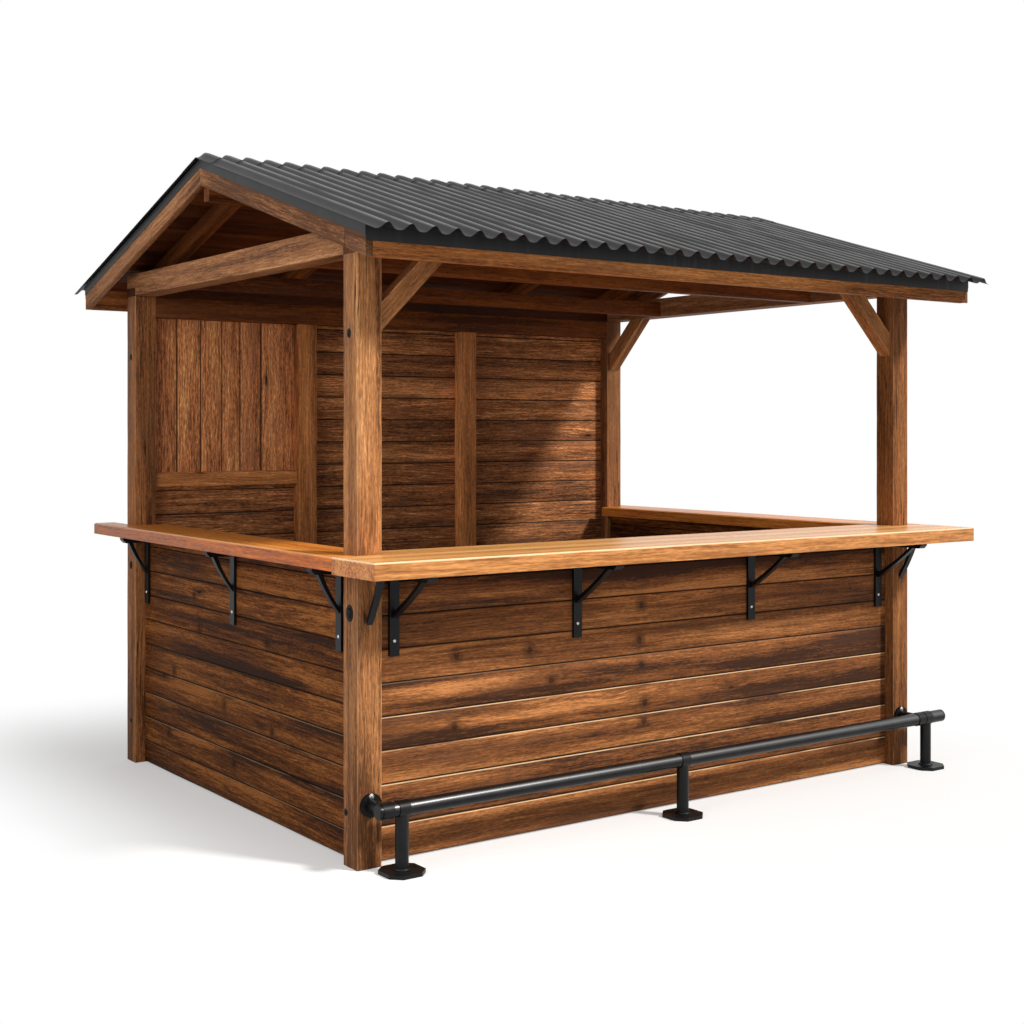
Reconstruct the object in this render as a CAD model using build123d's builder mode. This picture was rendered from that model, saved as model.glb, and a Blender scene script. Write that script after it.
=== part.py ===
"""Timber bar stall with a boarded back wall, counters on three sides and a corrugated gable roof."""
import os
from math import ceil, cos, pi, radians, sin, tan

from build123d import *

# Plan over the outer faces of the corner posts, and main heights
stall_width = 2910.0
stall_depth = 2170.0
post_height = 2160.0
counter_height = 1100.0
post_size = 100.0
edge_chamfer = 4.0
overrun = 20.0
curve_clearance = 0.3

# Boarded walls
wall_thickness = 28.0
front_board_width = 120.0
front_first_joint = 36.0
side_board_width = 112.5
side_first_joint = 102.0
rear_board_width = 114.0
upright_board_width = 128.0
board_vee = 4.0
panel_recess = 50.0
rear_recess = 10.0
groove_depth = 12.0
ground_gap = 4.0

# Framing of the back wall
stud_width = 100.0
left_stud_x = -560.0
right_stud_x = 400.0
top_rail_depth = 96.0
sill_rail_top = 1340.0
sill_rail_depth = 68.0
sill_rail_thickness = 45.0

# Counters
front_counter_thickness = 60.0
side_counter_thickness = 50.0
front_overhang = 290.0
side_overhang = 100.0
inner_overhang = 40.0
rear_overhang = 160.0
counter_chamfer = 5.0

# Roof frame
roof_pitch = radians(17.2)
plate_depth = 75.0
tie_depth = 100.0
joist_width = 50.0
joist_depth = 75.0
joist_offset = 550.0
ridge_width = 50.0
ridge_depth = 150.0
rafter_width = 50.0
rafter_depth = 70.0
rafter_count = 5
brace_width = 60.0
brace_outer_leg = 280.0
brace_inner_leg = 180.0

# Roof edges
eave_overhang = 250.0
gable_overhang = 110.0
deck_thickness = 18.0
barge_thickness = 28.0
barge_drop = 14.0
barge_joint = 1.0
fascia_thickness = 25.0
trim_thickness = 2.0
trim_flange = 60.0
verge_trim_face = 37.0
eave_trim_face = 54.0

# Corrugated sheets and ridge cap
corrugation_count = 35
corrugation_flat_count = 6
crest_sharpness = 1.6
corrugation_height = 25.0
sheet_thickness = 1.5
sheet_side_overhang = 20.0
sheet_eave_overhang = 97.0
sheet_ridge_gap = 15.0
ridge_cap_wing = 140.0

# Counter brackets
front_bracket_shares = (-0.945, -0.332, 0.362, 0.959)
side_bracket_shares = (-0.893, 0.02, 0.959)
strap_width = 40.0
strap_thickness = 12.0
strap_length = 310.0
arm_width = 40.0
arm_depth = 28.0
arm_nose = 14.0
front_arm_reach = 270.0
side_arm_reach = 130.0
bar_width = 24.0
bar_thickness = 20.0
bar_bow = 4.0
bar_drop = 175.0
front_bar_reach = 215.0
side_bar_reach = 100.0
stay_reach = 95.0
stay_drop = 185.0

# Foot rail
rail_height = 225.0
rail_standoff = 105.0
rail_radius = 27.0
rail_wall = 3.0
rail_left_margin = 13.0
rail_right_margin = 136.0
cap_thickness = 8.0
left_stanchion_inset = 118.0
middle_stanchion_x = -33.0
right_stanchion_inset = 4.0
stanchion_radius = 24.0
sleeve_wall = 3.0
sleeve_length = 44.0
plate_size = 148.0
plate_thickness = 14.0
plate_clip = 36.0
anchor_spacing = 108.0
anchor_radius = 5.0
flange_inset = 53.0
flange_radius = 42.0
flange_thickness = 8.0
stub_radius = 22.0
flange_sleeve_length = 44.0

# Places that several pieces share
half_width = stall_width / 2
half_depth = stall_depth / 2
inner_x = half_width - post_size
inner_y = half_depth - post_size
panel_x = half_width - panel_recess
panel_y = half_depth - panel_recess
front_panel_top = counter_height - front_counter_thickness
side_panel_top = counter_height - side_counter_thickness
back_outer_y = half_depth - rear_recess
back_inner_y = back_outer_y - wall_thickness
wall_reach_x = inner_x + groove_depth
wall_reach_y = inner_y + groove_depth
upright_bottom = sill_rail_top - sill_rail_depth / 2
top_rail_bottom = post_height - top_rail_depth
plate_top = post_height + plate_depth
lap_height = post_height + plate_depth / 2
eave_y = half_depth + eave_overhang
verge_x = half_width + gable_overhang
deck_x = verge_x - barge_thickness
fascia_y = eave_y - fascia_thickness
sheet_reach = verge_x + sheet_side_overhang
rafter_end_x = inner_x - rafter_width / 2
rail_y = -half_depth - rail_standoff
flange_x = half_width - flange_inset
clasped_x = flange_x + flange_sleeve_length / 2
rail_length = 2 * clasped_x + rail_left_margin + rail_right_margin
stanchion_places = (left_stanchion_inset - half_width, middle_stanchion_x, half_width - right_stanchion_inset)

# Plumb heights of layers that are measured square to the slope
slope = tan(roof_pitch)
rafter_plumb = rafter_depth / cos(roof_pitch)
deck_plumb = deck_thickness / cos(roof_pitch)
trim_plumb = trim_thickness / cos(roof_pitch)


def rafter_under(y):
    """Height of the rafters' underside at a distance from the ridge; it meets the plates' inner edges."""
    return plate_top + (inner_y - y) * slope


def rafter_over(y):
    """Height of the rafters' upper side."""
    return rafter_under(y) + rafter_plumb


def deck_over(y):
    """Height of the roof boards' upper side."""
    return rafter_over(y) + deck_plumb


def boarded_section(inner, outer, start, finish, first_joint, pitch):
    """Outline across a boarded wall: a flat inner face and a vee at each joint of the outer face."""
    depth = board_vee if outer > inner else -board_vee
    points = [(outer, start), (inner, start), (inner, finish), (outer, finish)]
    for joint in reversed(range(ceil((finish - 2 * board_vee - first_joint) / pitch))):
        middle = first_joint + joint * pitch
        points += [(outer, middle + board_vee), (outer - depth, middle), (outer, middle - board_vee)]
    return points


def evenly_boarded(inner, outer, start, finish, width):
    """The same outline with equal boards, as near to a width as they come."""
    pitch = (finish - start) / round((finish - start) / width)
    return boarded_section(inner, outer, start, finish, start + pitch, pitch)


def prism(plane, points, distance, both=False):
    """A closed outline on a plane, extruded along the plane's normal."""
    with BuildPart() as solid:
        with BuildSketch(plane):
            with BuildLine():
                Polyline(*points, close=True)
            make_face()
        extrude(amount=distance, both=both)
    return solid.part


def across(points, start, finish):
    """An outline in the plane of a gable, extruded from one place to another along the stall."""
    return prism(Plane.YZ.offset(start), points, finish - start)


def save(name, part):
    """Write one named piece."""
    part.label = name
    export_step(part, f"parts/{name}.step")


os.makedirs("parts", exist_ok=True)

# Boarded panels below the counters
front_section = boarded_section(
    -panel_y + wall_thickness, -panel_y, ground_gap, front_panel_top, front_first_joint, front_board_width
)
front_panel = across(front_section, -wall_reach_x, wall_reach_x)
save("front_panel", front_panel)

side_panels = {}
for name, side in (("left", -1), ("right", 1)):
    inner_face = side * (panel_x - wall_thickness)
    section = boarded_section(
        inner_face, side * panel_x, ground_gap, side_panel_top, side_first_joint, side_board_width
    )
    side_panels[side] = prism(Plane.XZ, section, wall_reach_y, both=True)
    save(f"{name}_panel", side_panels[side])

# Back wall, with the place of the upright boards cut out of its left bay
back_section = evenly_boarded(back_inner_y, back_outer_y, ground_gap, post_height, rear_board_width)
with BuildPart() as back_wall:
    add(across(back_section, -wall_reach_x, wall_reach_x))
    with BuildSketch(Plane.XZ):
        with Locations((left_stud_x, upright_bottom)):
            Rectangle(stall_width, post_height, align=(Align.MAX, Align.MIN))
    extrude(amount=stall_depth, both=True, mode=Mode.SUBTRACT)
save("back_wall", back_wall.part)

# Panel of upright boards in the left bay
upright_section = evenly_boarded(back_inner_y, back_outer_y, -wall_reach_x, left_stud_x, upright_board_width)
upright_points = [(x, y) for y, x in upright_section]
upright_panel = prism(Plane.XY.offset(upright_bottom), upright_points, post_height - upright_bottom)
save("upright_panel", upright_panel)

# Corner posts with eased edges, grooved for the walls that they hold
for end_name, end in (("front", -1), ("rear", 1)):
    for side_name, side in (("left", -1), ("right", 1)):
        with BuildPart() as post:
            with BuildSketch():
                with Locations((side * (half_width - post_size / 2), end * (half_depth - post_size / 2))):
                    eased = Rectangle(post_size, post_size)
                chamfer(eased.vertices(), edge_chamfer)
            extrude(amount=post_height)
            add(side_panels[side], mode=Mode.SUBTRACT)
            if end < 0:
                add(front_panel, mode=Mode.SUBTRACT)
            else:
                add(back_wall.part, mode=Mode.SUBTRACT)
                add(upright_panel, mode=Mode.SUBTRACT)
        save(f"post_{end_name}_{side_name}", post.part)

# Studs, top rail and sill rail inside the back wall
with BuildPart() as rear_studs:
    with BuildSketch():
        with Locations((left_stud_x, inner_y), (right_stud_x, inner_y)):
            Rectangle(stud_width, back_inner_y - inner_y, align=(Align.CENTER, Align.MIN))
    extrude(amount=top_rail_bottom)
save("rear_studs", rear_studs.part)

with BuildPart() as rear_top_rail:
    with BuildSketch(Plane.XY.offset(top_rail_bottom)):
        with Locations((0, inner_y)):
            Rectangle(2 * inner_x, back_inner_y - inner_y, align=(Align.CENTER, Align.MIN))
    extrude(amount=top_rail_depth)
save("rear_top_rail", rear_top_rail.part)

sill_length = left_stud_x - stud_width / 2 + inner_x
with BuildPart() as sill_rail:
    with BuildSketch(Plane.XY.offset(sill_rail_top)):
        with Locations((-inner_x, back_inner_y)):
            Rectangle(sill_length, sill_rail_thickness, align=(Align.MIN, Align.MAX))
    extrude(amount=-sill_rail_depth)
    chamfer(sill_rail.edges().filter_by(Axis.X).sort_by(Axis.Y)[:2], edge_chamfer)
save("sill_rail", sill_rail.part)

# Counters: the front one spans the stall, the side ones are notched round the posts
counter_x = half_width + side_overhang
counter_inner_x = inner_x - inner_overhang
counter_front_y = -half_depth - front_overhang
front_outline = [
    (-counter_x, counter_front_y),
    (counter_x, counter_front_y),
    (counter_x, -half_depth),
    (counter_inner_x, -half_depth),
    (counter_inner_x, inner_overhang - inner_y),
    (-counter_inner_x, inner_overhang - inner_y),
    (-counter_inner_x, -half_depth),
    (-counter_x, -half_depth),
]
with BuildPart() as counter_front:
    add(prism(Plane.XY.offset(counter_height), front_outline, -front_counter_thickness))
    chamfer(counter_front.faces().sort_by(Axis.Z)[-1].edges(), counter_chamfer)
save("counter_front", counter_front.part)

side_outline = [
    (counter_x, -half_depth),
    (half_width, -half_depth),
    (half_width, -inner_y),
    (inner_x, -inner_y),
    (inner_x, -half_depth),
    (counter_inner_x, -half_depth),
    (counter_inner_x, inner_y),
    (half_width, inner_y),
    (half_width, half_depth + rear_overhang),
    (counter_x, half_depth + rear_overhang),
]
for name, side in (("left", -1), ("right", 1)):
    outline = [(side * x, y) for x, y in side_outline]
    with BuildPart() as counter_side:
        add(prism(Plane.XY.offset(counter_height), outline, -side_counter_thickness))
        chamfer(counter_side.edges().group_by(Axis.Z)[-1], counter_chamfer)
    save(f"counter_{name}", counter_side.part)


def bracket(place, outward, underside, arm_reach, bar_reach):
    """One iron bracket: a strap on the wall, an arm under the counter and a bowed bar between them."""
    side_view = Plane(origin=place, x_dir=outward, z_dir=Vector(*outward).cross(Vector(0, 0, 1)))
    arm_bottom = underside - arm_depth
    strap_outline = [
        (0, underside),
        (strap_thickness, underside),
        (strap_thickness, underside - strap_length),
        (0, underside - strap_length),
    ]
    arm_outline = [
        (0, underside),
        (arm_reach, underside),
        (arm_reach, arm_bottom + arm_nose),
        (arm_reach - arm_nose, arm_bottom),
        (0, arm_bottom),
    ]
    with BuildPart() as iron:
        add(prism(side_view, strap_outline, strap_width / 2, both=True))
        add(prism(side_view, arm_outline, arm_width / 2, both=True))
        add(bowed_bar(side_view, strap_thickness, underside - bar_drop, bar_reach, arm_bottom))
    return iron.part


def bowed_bar(side_view, foot_x, foot_z, head_x, head_z):
    """A flat bar bowed away from the corner that it braces, from its foot on the wall up to its head."""
    middle_x = (foot_x + head_x) / 2 + bar_bow
    middle_z = (foot_z + head_z) / 2 - bar_bow
    with BuildPart() as bar:
        with BuildSketch(side_view):
            with BuildLine():
                ThreePointArc((foot_x, foot_z), (middle_x, middle_z), (head_x, head_z))
                Line((head_x, head_z), (head_x - bar_thickness, head_z))
                ThreePointArc(
                    (head_x - bar_thickness, head_z),
                    (middle_x - bar_thickness / 2, middle_z + bar_thickness / 2),
                    (foot_x, foot_z + bar_thickness),
                )
                Line((foot_x, foot_z + bar_thickness), (foot_x, foot_z))
            make_face()
        extrude(amount=bar_width / 2, both=True)
    return bar.part


# Iron brackets, and a bowed stay on each front post
with BuildPart() as front_brackets:
    for share in front_bracket_shares:
        add(bracket((share * inner_x, -panel_y, 0), (0, -1, 0), front_panel_top, front_arm_reach, front_bar_reach))
    for side in (-1, 1):
        stay_view = Plane(
            origin=(side * (half_width - post_size / 2), -half_depth, 0), x_dir=(0, -1, 0), z_dir=(-1, 0, 0)
        )
        add(bowed_bar(stay_view, 0, front_panel_top - stay_drop, stay_reach, front_panel_top))
save("front_brackets", front_brackets.part)

for name, side in (("left", -1), ("right", 1)):
    with BuildPart() as side_brackets:
        for share in side_bracket_shares:
            place = (side * panel_x, share * inner_y, 0)
            add(bracket(place, (side, 0, 0), side_panel_top, side_arm_reach, side_bar_reach))
    save(f"{name}_brackets", side_brackets.part)

# Foot rail: a capped tube
rail_end = Plane.YZ.offset(-clasped_x - rail_left_margin)
with BuildPart() as foot_rail:
    with BuildSketch(rail_end):
        with Locations((rail_y, rail_height)):
            Circle(rail_radius)
            Circle(rail_radius - rail_wall, mode=Mode.SUBTRACT)
    extrude(amount=rail_length)
    with BuildSketch(rail_end, rail_end.offset(rail_length - cap_thickness)):
        with Locations((rail_y, rail_height)):
            Circle(rail_radius)
    extrude(amount=cap_thickness)
    chamfer(foot_rail.edges().filter_by(GeomType.CIRCLE).group_by(SortBy.RADIUS)[-1], rail_wall)
save("foot_rail", foot_rail.part)


def sleeve(x, length):
    """A ring that clasps the foot rail."""
    with BuildPart() as ring:
        with BuildSketch(Plane.YZ.offset(x - length / 2)):
            with Locations((rail_y, rail_height)):
                Circle(rail_radius + sleeve_wall)
        extrude(amount=length)
    return ring.part


def rail_bore():
    """The rail's own space, with clearance, to cut from what clasps it."""
    with BuildPart() as bore:
        with BuildSketch(Plane.YZ):
            with Locations((rail_y, rail_height)):
                Circle(rail_radius + curve_clearance)
        extrude(amount=rail_length, both=True)
    return bore.part


# Stanchions: a clipped base plate with anchor holes, a stem and a sleeve round the rail
with BuildPart() as rail_stanchions:
    for x in stanchion_places:
        with BuildSketch():
            with Locations((x, rail_y)):
                base = Rectangle(plate_size, plate_size)
            chamfer(base.vertices(), plate_clip)
            with Locations((x - anchor_spacing / 2, rail_y), (x + anchor_spacing / 2, rail_y)):
                Circle(anchor_radius, mode=Mode.SUBTRACT)
        extrude(amount=plate_thickness)
        with BuildSketch():
            with Locations((x, rail_y)):
                Circle(stanchion_radius)
        extrude(amount=rail_height)
        add(sleeve(x, sleeve_length))
    add(rail_bore(), mode=Mode.SUBTRACT)
save("rail_stanchions", rail_stanchions.part)

# Round flanges on the front posts, each with a stub and a sleeve round the rail
with BuildPart() as rail_flanges:
    for x in (-flange_x, flange_x):
        with BuildSketch(Plane.XZ.offset(half_depth)):
            with Locations((x, rail_height)):
                Circle(flange_radius)
        extrude(amount=flange_thickness)
        with BuildSketch(Plane.XZ.offset(half_depth)):
            with Locations((x, rail_height)):
                Circle(stub_radius)
        extrude(amount=rail_standoff)
        add(sleeve(x, flange_sleeve_length))
    add(rail_bore(), mode=Mode.SUBTRACT)
save("rail_flanges", rail_flanges.part)

# Wall plates along the stall, half lapped under the tie beams at the corners
for name, end in (("front", -1), ("rear", 1)):
    with BuildPart() as wall_plate:
        with BuildSketch(Plane.XY.offset(post_height)):
            with Locations((0, end * (half_depth - post_size / 2))):
                Rectangle(stall_width, post_size)
        extrude(amount=plate_depth / 2)
        with BuildSketch(Plane.XY.offset(lap_height)):
            with Locations((0, end * (half_depth - post_size / 2))):
                Rectangle(2 * inner_x, post_size)
        extrude(amount=plate_depth / 2)
    save(f"wall_plate_{name}", wall_plate.part)

tie_outline = [
    (-inner_y, post_height),
    (inner_y, post_height),
    (inner_y, lap_height),
    (half_depth, lap_height),
    (half_depth, post_height + tie_depth),
    (-half_depth, post_height + tie_depth),
    (-half_depth, lap_height),
    (-inner_y, lap_height),
]
save("tie_beam_left", across(tie_outline, -half_width, -inner_x))
save("tie_beam_right", across(tie_outline, inner_x, half_width))

# Ceiling joists between the tie beams
for name, end in (("front", -1), ("rear", 1)):
    with BuildPart() as ceiling_joist:
        with BuildSketch(Plane.XY.offset(post_height)):
            with Locations((0, end * joist_offset)):
                Rectangle(2 * inner_x, joist_width)
        extrude(amount=joist_depth)
    save(f"ceiling_joist_{name}", ceiling_joist.part)

# Ridge beam, its top bevelled to both slopes
ridge_bottom = rafter_over(0) - ridge_depth
ridge_outline = [
    (-ridge_width / 2, ridge_bottom),
    (ridge_width / 2, ridge_bottom),
    (ridge_width / 2, rafter_over(ridge_width / 2)),
    (0, rafter_over(0)),
    (-ridge_width / 2, rafter_over(ridge_width / 2)),
]
save("ridge_beam", across(ridge_outline, -deck_x, deck_x))

# Rafters with birdsmouths over the plates, and the layers and boards that follow each slope
rafter_outline = [
    (ridge_width / 2, rafter_under(ridge_width / 2)),
    (inner_y, plate_top),
    (half_depth, plate_top),
    (half_depth, rafter_under(half_depth)),
    (fascia_y, rafter_under(fascia_y)),
    (fascia_y, rafter_over(fascia_y)),
    (ridge_width / 2, rafter_over(ridge_width / 2)),
]
deck_outline = [
    (0, rafter_over(0)),
    (eave_y, rafter_over(eave_y)),
    (eave_y, deck_over(eave_y)),
    (0, deck_over(0)),
]
fascia_bottom = rafter_under(eave_y) - barge_drop
fascia_outline = [
    (fascia_y, fascia_bottom),
    (eave_y, fascia_bottom),
    (eave_y, rafter_over(eave_y)),
    (fascia_y, rafter_over(fascia_y)),
]
eave_leg_outline = [
    (eave_y, deck_over(eave_y) - eave_trim_face),
    (eave_y + trim_thickness, deck_over(eave_y) - eave_trim_face),
    (eave_y + trim_thickness, deck_over(eave_y + trim_thickness) + trim_plumb),
    (eave_y, deck_over(eave_y) + trim_plumb),
]
eave_flange_outline = [
    (eave_y, deck_over(eave_y)),
    (eave_y, deck_over(eave_y) + trim_plumb),
    (eave_y - trim_flange, deck_over(eave_y - trim_flange) + trim_plumb),
    (eave_y - trim_flange, deck_over(eave_y - trim_flange)),
]
barge_outline = [
    (barge_joint / 2, rafter_under(barge_joint / 2) - barge_drop),
    (eave_y, fascia_bottom),
    (eave_y, deck_over(eave_y)),
    (barge_joint / 2, deck_over(barge_joint / 2)),
]
verge_flange_outline = [
    (0, deck_over(0)),
    (eave_y, deck_over(eave_y)),
    (eave_y, deck_over(eave_y) + trim_plumb),
    (0, deck_over(0) + trim_plumb),
]
verge_end = eave_y + trim_thickness
verge_leg_outline = [
    (0, deck_over(0) - verge_trim_face),
    (verge_end, deck_over(verge_end) - verge_trim_face),
    (verge_end, deck_over(verge_end) + trim_plumb),
    (0, deck_over(0) + trim_plumb),
]


def facing(end, points):
    """A rear outline, turned to the front slope where the end is negative."""
    return [(end * y, z) for y, z in points]


rafter_spacing = 2 * rafter_end_x / (rafter_count - 1)
for name, end in (("front", -1), ("rear", 1)):
    with BuildPart() as rafters:
        for index in range(rafter_count):
            start = index * rafter_spacing - rafter_end_x - rafter_width / 2
            add(across(facing(end, rafter_outline), start, start + rafter_width))
    save(f"{name}_rafters", rafters.part)
    save(f"{name}_roof_boards", across(facing(end, deck_outline), -deck_x, deck_x))
    save(f"{name}_fascia", across(facing(end, fascia_outline), -deck_x, deck_x))
    with BuildPart() as eave_trim:
        add(across(facing(end, eave_leg_outline), -verge_x, verge_x))
        add(across(facing(end, eave_flange_outline), trim_flange - verge_x, verge_x - trim_flange))
    save(f"{name}_eave_trim", eave_trim.part)

for name, side in (("left", -1), ("right", 1)):
    with BuildPart() as barge_boards:
        for end in (-1, 1):
            add(across(facing(end, barge_outline), side * deck_x, side * verge_x))
    save(f"{name}_barge_boards", barge_boards.part)
    with BuildPart() as verge_trim:
        for end in (-1, 1):
            leg_x = side * (verge_x + trim_thickness)
            add(across(facing(end, verge_leg_outline), side * verge_x, leg_x))
            add(across(facing(end, verge_flange_outline), side * (verge_x - trim_flange), side * verge_x))
    save(f"{name}_verge_trim", verge_trim.part)


def corrugated(end, rise, start, length):
    """A sheet whose section is a wave of narrow crests, a few flats to each, laid down one slope."""
    flats = corrugation_count * corrugation_flat_count
    step = 2 * sheet_reach / flats
    lower = []
    for index in range(flats + 1):
        wave = (1 - cos(2 * pi * index / corrugation_flat_count)) / 2
        lower.append((index * step - sheet_reach, rise + corrugation_height * wave**crest_sharpness))
    upper = [(x, height + sheet_thickness) for x, height in reversed(lower)]
    down_slope = (0, end * cos(roof_pitch), -sin(roof_pitch))
    slope_plane = Plane(origin=(0, 0, deck_over(0)), x_dir=(-end, 0, 0), z_dir=down_slope)
    return prism(slope_plane.offset(start), lower + upper, length)


# Corrugated sheets that rest on the trims, and a ridge cap of the same profile over them
sheet_rise = trim_thickness + curve_clearance
sheet_run = (eave_y + sheet_eave_overhang) / cos(roof_pitch) - sheet_ridge_gap
for name, end in (("front", -1), ("rear", 1)):
    save(f"{name}_roof_sheet", corrugated(end, sheet_rise, sheet_ridge_gap, sheet_run))

cap_rise = sheet_rise + sheet_thickness + curve_clearance
with BuildPart() as ridge_cap:
    add(corrugated(-1, cap_rise, -overrun, ridge_cap_wing + overrun))
    split(bisect_by=Plane.XZ, keep=Keep.TOP)
    mirror(about=Plane.XZ)
save("ridge_cap", ridge_cap.part)

# Knee braces under the front plate and under the right tie beam
brace_outline = [
    (inner_x, post_height - brace_outer_leg),
    (inner_x, post_height - brace_inner_leg),
    (inner_x - brace_inner_leg, post_height),
    (inner_x - brace_outer_leg, post_height),
]
brace_plane = Plane.XZ.offset(half_depth - post_size / 2)
with BuildPart() as front_knee_braces:
    for side in (-1, 1):
        add(prism(brace_plane, facing(side, brace_outline), brace_width / 2, both=True))
save("front_knee_braces", front_knee_braces.part)

rear_brace_outline = [(y - inner_x + inner_y, z) for y, z in brace_outline]
rear_brace_plane = Plane.YZ.offset(half_width - post_size / 2)
save("rear_knee_brace", prism(rear_brace_plane, rear_brace_outline, brace_width / 2, both=True))
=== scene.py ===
"""A roofed timber bar stall: its boards, roof metal, ironwork, finishes and the studio round it.

Lengths are in metres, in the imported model's frame: X along the front, Y to the back wall, Z up.
"""

import math

import bpy
import numpy as np
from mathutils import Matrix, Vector


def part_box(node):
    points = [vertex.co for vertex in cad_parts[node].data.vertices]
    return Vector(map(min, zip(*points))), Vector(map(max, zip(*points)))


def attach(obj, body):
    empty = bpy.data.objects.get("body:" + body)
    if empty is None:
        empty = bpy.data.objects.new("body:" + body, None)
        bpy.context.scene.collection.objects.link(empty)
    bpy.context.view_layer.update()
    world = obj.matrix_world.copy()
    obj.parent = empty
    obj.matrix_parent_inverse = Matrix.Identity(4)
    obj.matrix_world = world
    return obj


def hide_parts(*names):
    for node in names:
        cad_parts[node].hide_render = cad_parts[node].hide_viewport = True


bl_info = {
    "name": "Timber Bar Stall",
    "version": (1, 0, 0),
    "blender": (4, 5, 0),
    "location": "3D View > Sidebar > Stall",
    "description": "Dresses a packed bar stall with boards, roof metal, ironwork and finishes",
    "category": "Object",
}

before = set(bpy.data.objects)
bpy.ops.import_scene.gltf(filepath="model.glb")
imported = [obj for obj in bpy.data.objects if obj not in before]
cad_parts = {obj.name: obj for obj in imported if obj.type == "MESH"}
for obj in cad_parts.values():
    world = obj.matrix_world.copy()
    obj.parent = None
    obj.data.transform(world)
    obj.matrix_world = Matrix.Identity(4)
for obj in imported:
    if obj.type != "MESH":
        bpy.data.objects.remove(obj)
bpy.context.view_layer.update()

PITCH = math.radians(17.2)
X_AXIS, Y_AXIS, Z_AXIS = np.eye(3)
# The roof's slopes with the sign of their Y, and the gables with the sign of their X
SLOPES = (("front", -1.0), ("rear", 1.0))
HANDS = (("left", -1.0), ("right", 1.0))

# Joints between the upright boards of the back wall
UPRIGHT_JOINTS = (-1.225, -1.105, -0.995, -0.900, -0.790)
# Other sizes of boards and timbers
MOST_JOINTS = 12
BOARD_BOW = 0.0006
STUD_WIDTH = 0.100
TIMBER_STATIONS = 22
BRACE_RUN = 0.68
BRACE_RISE = 0.73
ROOF_BOARD_THICKNESS = 0.018
ROOF_BOARD_EASE = 0.003
BARGE_EASE = 0.0025
BARGE_TAIL = 0.150
BARGE_HALF_GAP = 0.0012

# Roof metal, with its rise over the roof boards
SHEET_RISE = 0.0023
SHEET_RIDGE_GAP = 0.015
CAP_RISE = 0.0041
CREST_SHARPNESS = 1.6
SWELL_HEIGHT = 0.0007
FACETS_PER_WAVE = 14
SHEET_STATIONS = 12
CAP_STATIONS = 6

# Screws in the bracket straps: the straps' places along the front and a side, their faces and the heights
FRONT_STRAPS = (-1.2805, -0.4499, 0.4905, 1.2994)
FRONT_STRAP_FACE = -1.047
FRONT_SCREW_HEIGHT = 0.785
SIDE_STRAPS = (-0.8796, 0.0197, 0.9446)
SIDE_STRAP_FACE = 1.417
SIDE_SCREW_HEIGHT = 0.792
# Bolts in the posts' outer faces, as place along the side, height and radius
POST_FACE = 1.455
POST_BOLTS = (
    (-1.027, 1.878, 0.014),
    (-1.032, 0.894, 0.025),
    (-1.004, 0.190, 0.011),
    (1.0365, 1.878, 0.013),
    (1.0365, 0.911, 0.016),
    (1.0365, 0.190, 0.010),
)
# How far a post bolt is drawn out, and a bolt's half outline in shares of its radius
BOLT_STRETCH = 1.22
BOLT_SHARES = (
    (1, -0.04),
    (1, 0.08),
    (0.93, 0.12),
    (0.68, 0.13),
    (0.66, 0.24),
    (0.5, 0.36),
    (0.28, 0.42),
    (0.02, 0.44),
)
# Screws in the rail's flanges, and welds at the feet of its stanchions
FLANGE_SCREW_PLACE = (1.402, -1.093, 0.256)
FLANGE_SCREW_RADIUS = 0.010
STANCHIONS = (-1.337, -0.033, 1.451)
STANCHION_LINE = -1.190
WELD_HEIGHT = 0.0138
WELD_BEAD = ((0.031, 0.0), (0.0315, 0.002), (0.0295, 0.0055), (0.0265, 0.008), (0.0238, 0.0085))

# Studio
FLOOR_REACH = 120.0
FILL_SIZE = 3.0
SIDE_FILL_PLACE = (-5.0, -1.4, 2.7)
SIDE_FILL_AIM = (-1.2, -0.2, 1.3)
FRONT_FILL_PLACE = (-2.6, -7.0, 1.7)
FRONT_FILL_AIM = (0.0, 0.0, 1.2)
SUN_COLOUR = (1.0, 0.975, 0.94)
SUN_DIRECTION = (-0.82, 1.25, -1.3)
SUN_PLACE = (5.0, -6.0, 6.0)
WHITE = (1.0, 1.0, 1.0)
FLOOR_GREY = (0.4, 0.4, 0.4)

# Pale wood at edges: partly scuffed wood and partly a painted highlight where an edge catches the light
SCUFFED_AND_LIT_WOOD = (0.84, 0.58, 0.33)
# How much lighter or darker each timber is than the plain stain, in all or in red, green and blue
FRONT_LEVEL = 0.94
# The side panels' boards are darker than the front's, partly their own tone and partly painted shade on the
# sides away from the sun
SIDE_LEVEL = (0.52, 0.47, 0.40)
REAR_LEVEL = (1.50, 1.60, 1.86)
STUD_LEVEL = (1.20, 1.06, 0.92)
# Painted shade: the ceiling joists, and the rear wall plate most of all, are darkened for the deep shade
# under the roof
JOIST_LEVEL = (0.42, 0.26, 0.12)
REAR_PLATE_LEVEL = (0.13, 0.07, 0.035)
UPRIGHT_LEVEL = (2.9, 3.0, 3.5)
# Painted shade: the top rail, front wall plate, ridge beam, rafters and roof boards are darkened for the
# shade under the roof
CEILING_LEVEL = (0.46, 0.31, 0.18)
ROOF_BOARD_LEVEL = (0.22, 0.12, 0.055)
FASCIA_LEVEL = (1.02, 0.85, 0.66)
GABLE_LEVEL = (0.76, 0.77, 0.86)
# Painted light and shade: the side counters get darker, warmer tones for the shade under the roof and the
# warm light bouncing inside
SIDE_COUNTER_LEVEL = (0.98, 0.70, 0.38)
# Painted shade: the front right post and the rear posts get darker copies of the frame stain for the shade
# they stand in
POST_LEVELS = {
    "post_front_left": (1.0, 1.0, 1.0),
    "post_front_right": (0.62, 0.56, 0.50),
    "post_rear_left": (0.74, 0.68, 0.64),
    "post_rear_right": (0.58, 0.54, 0.52),
}

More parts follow.
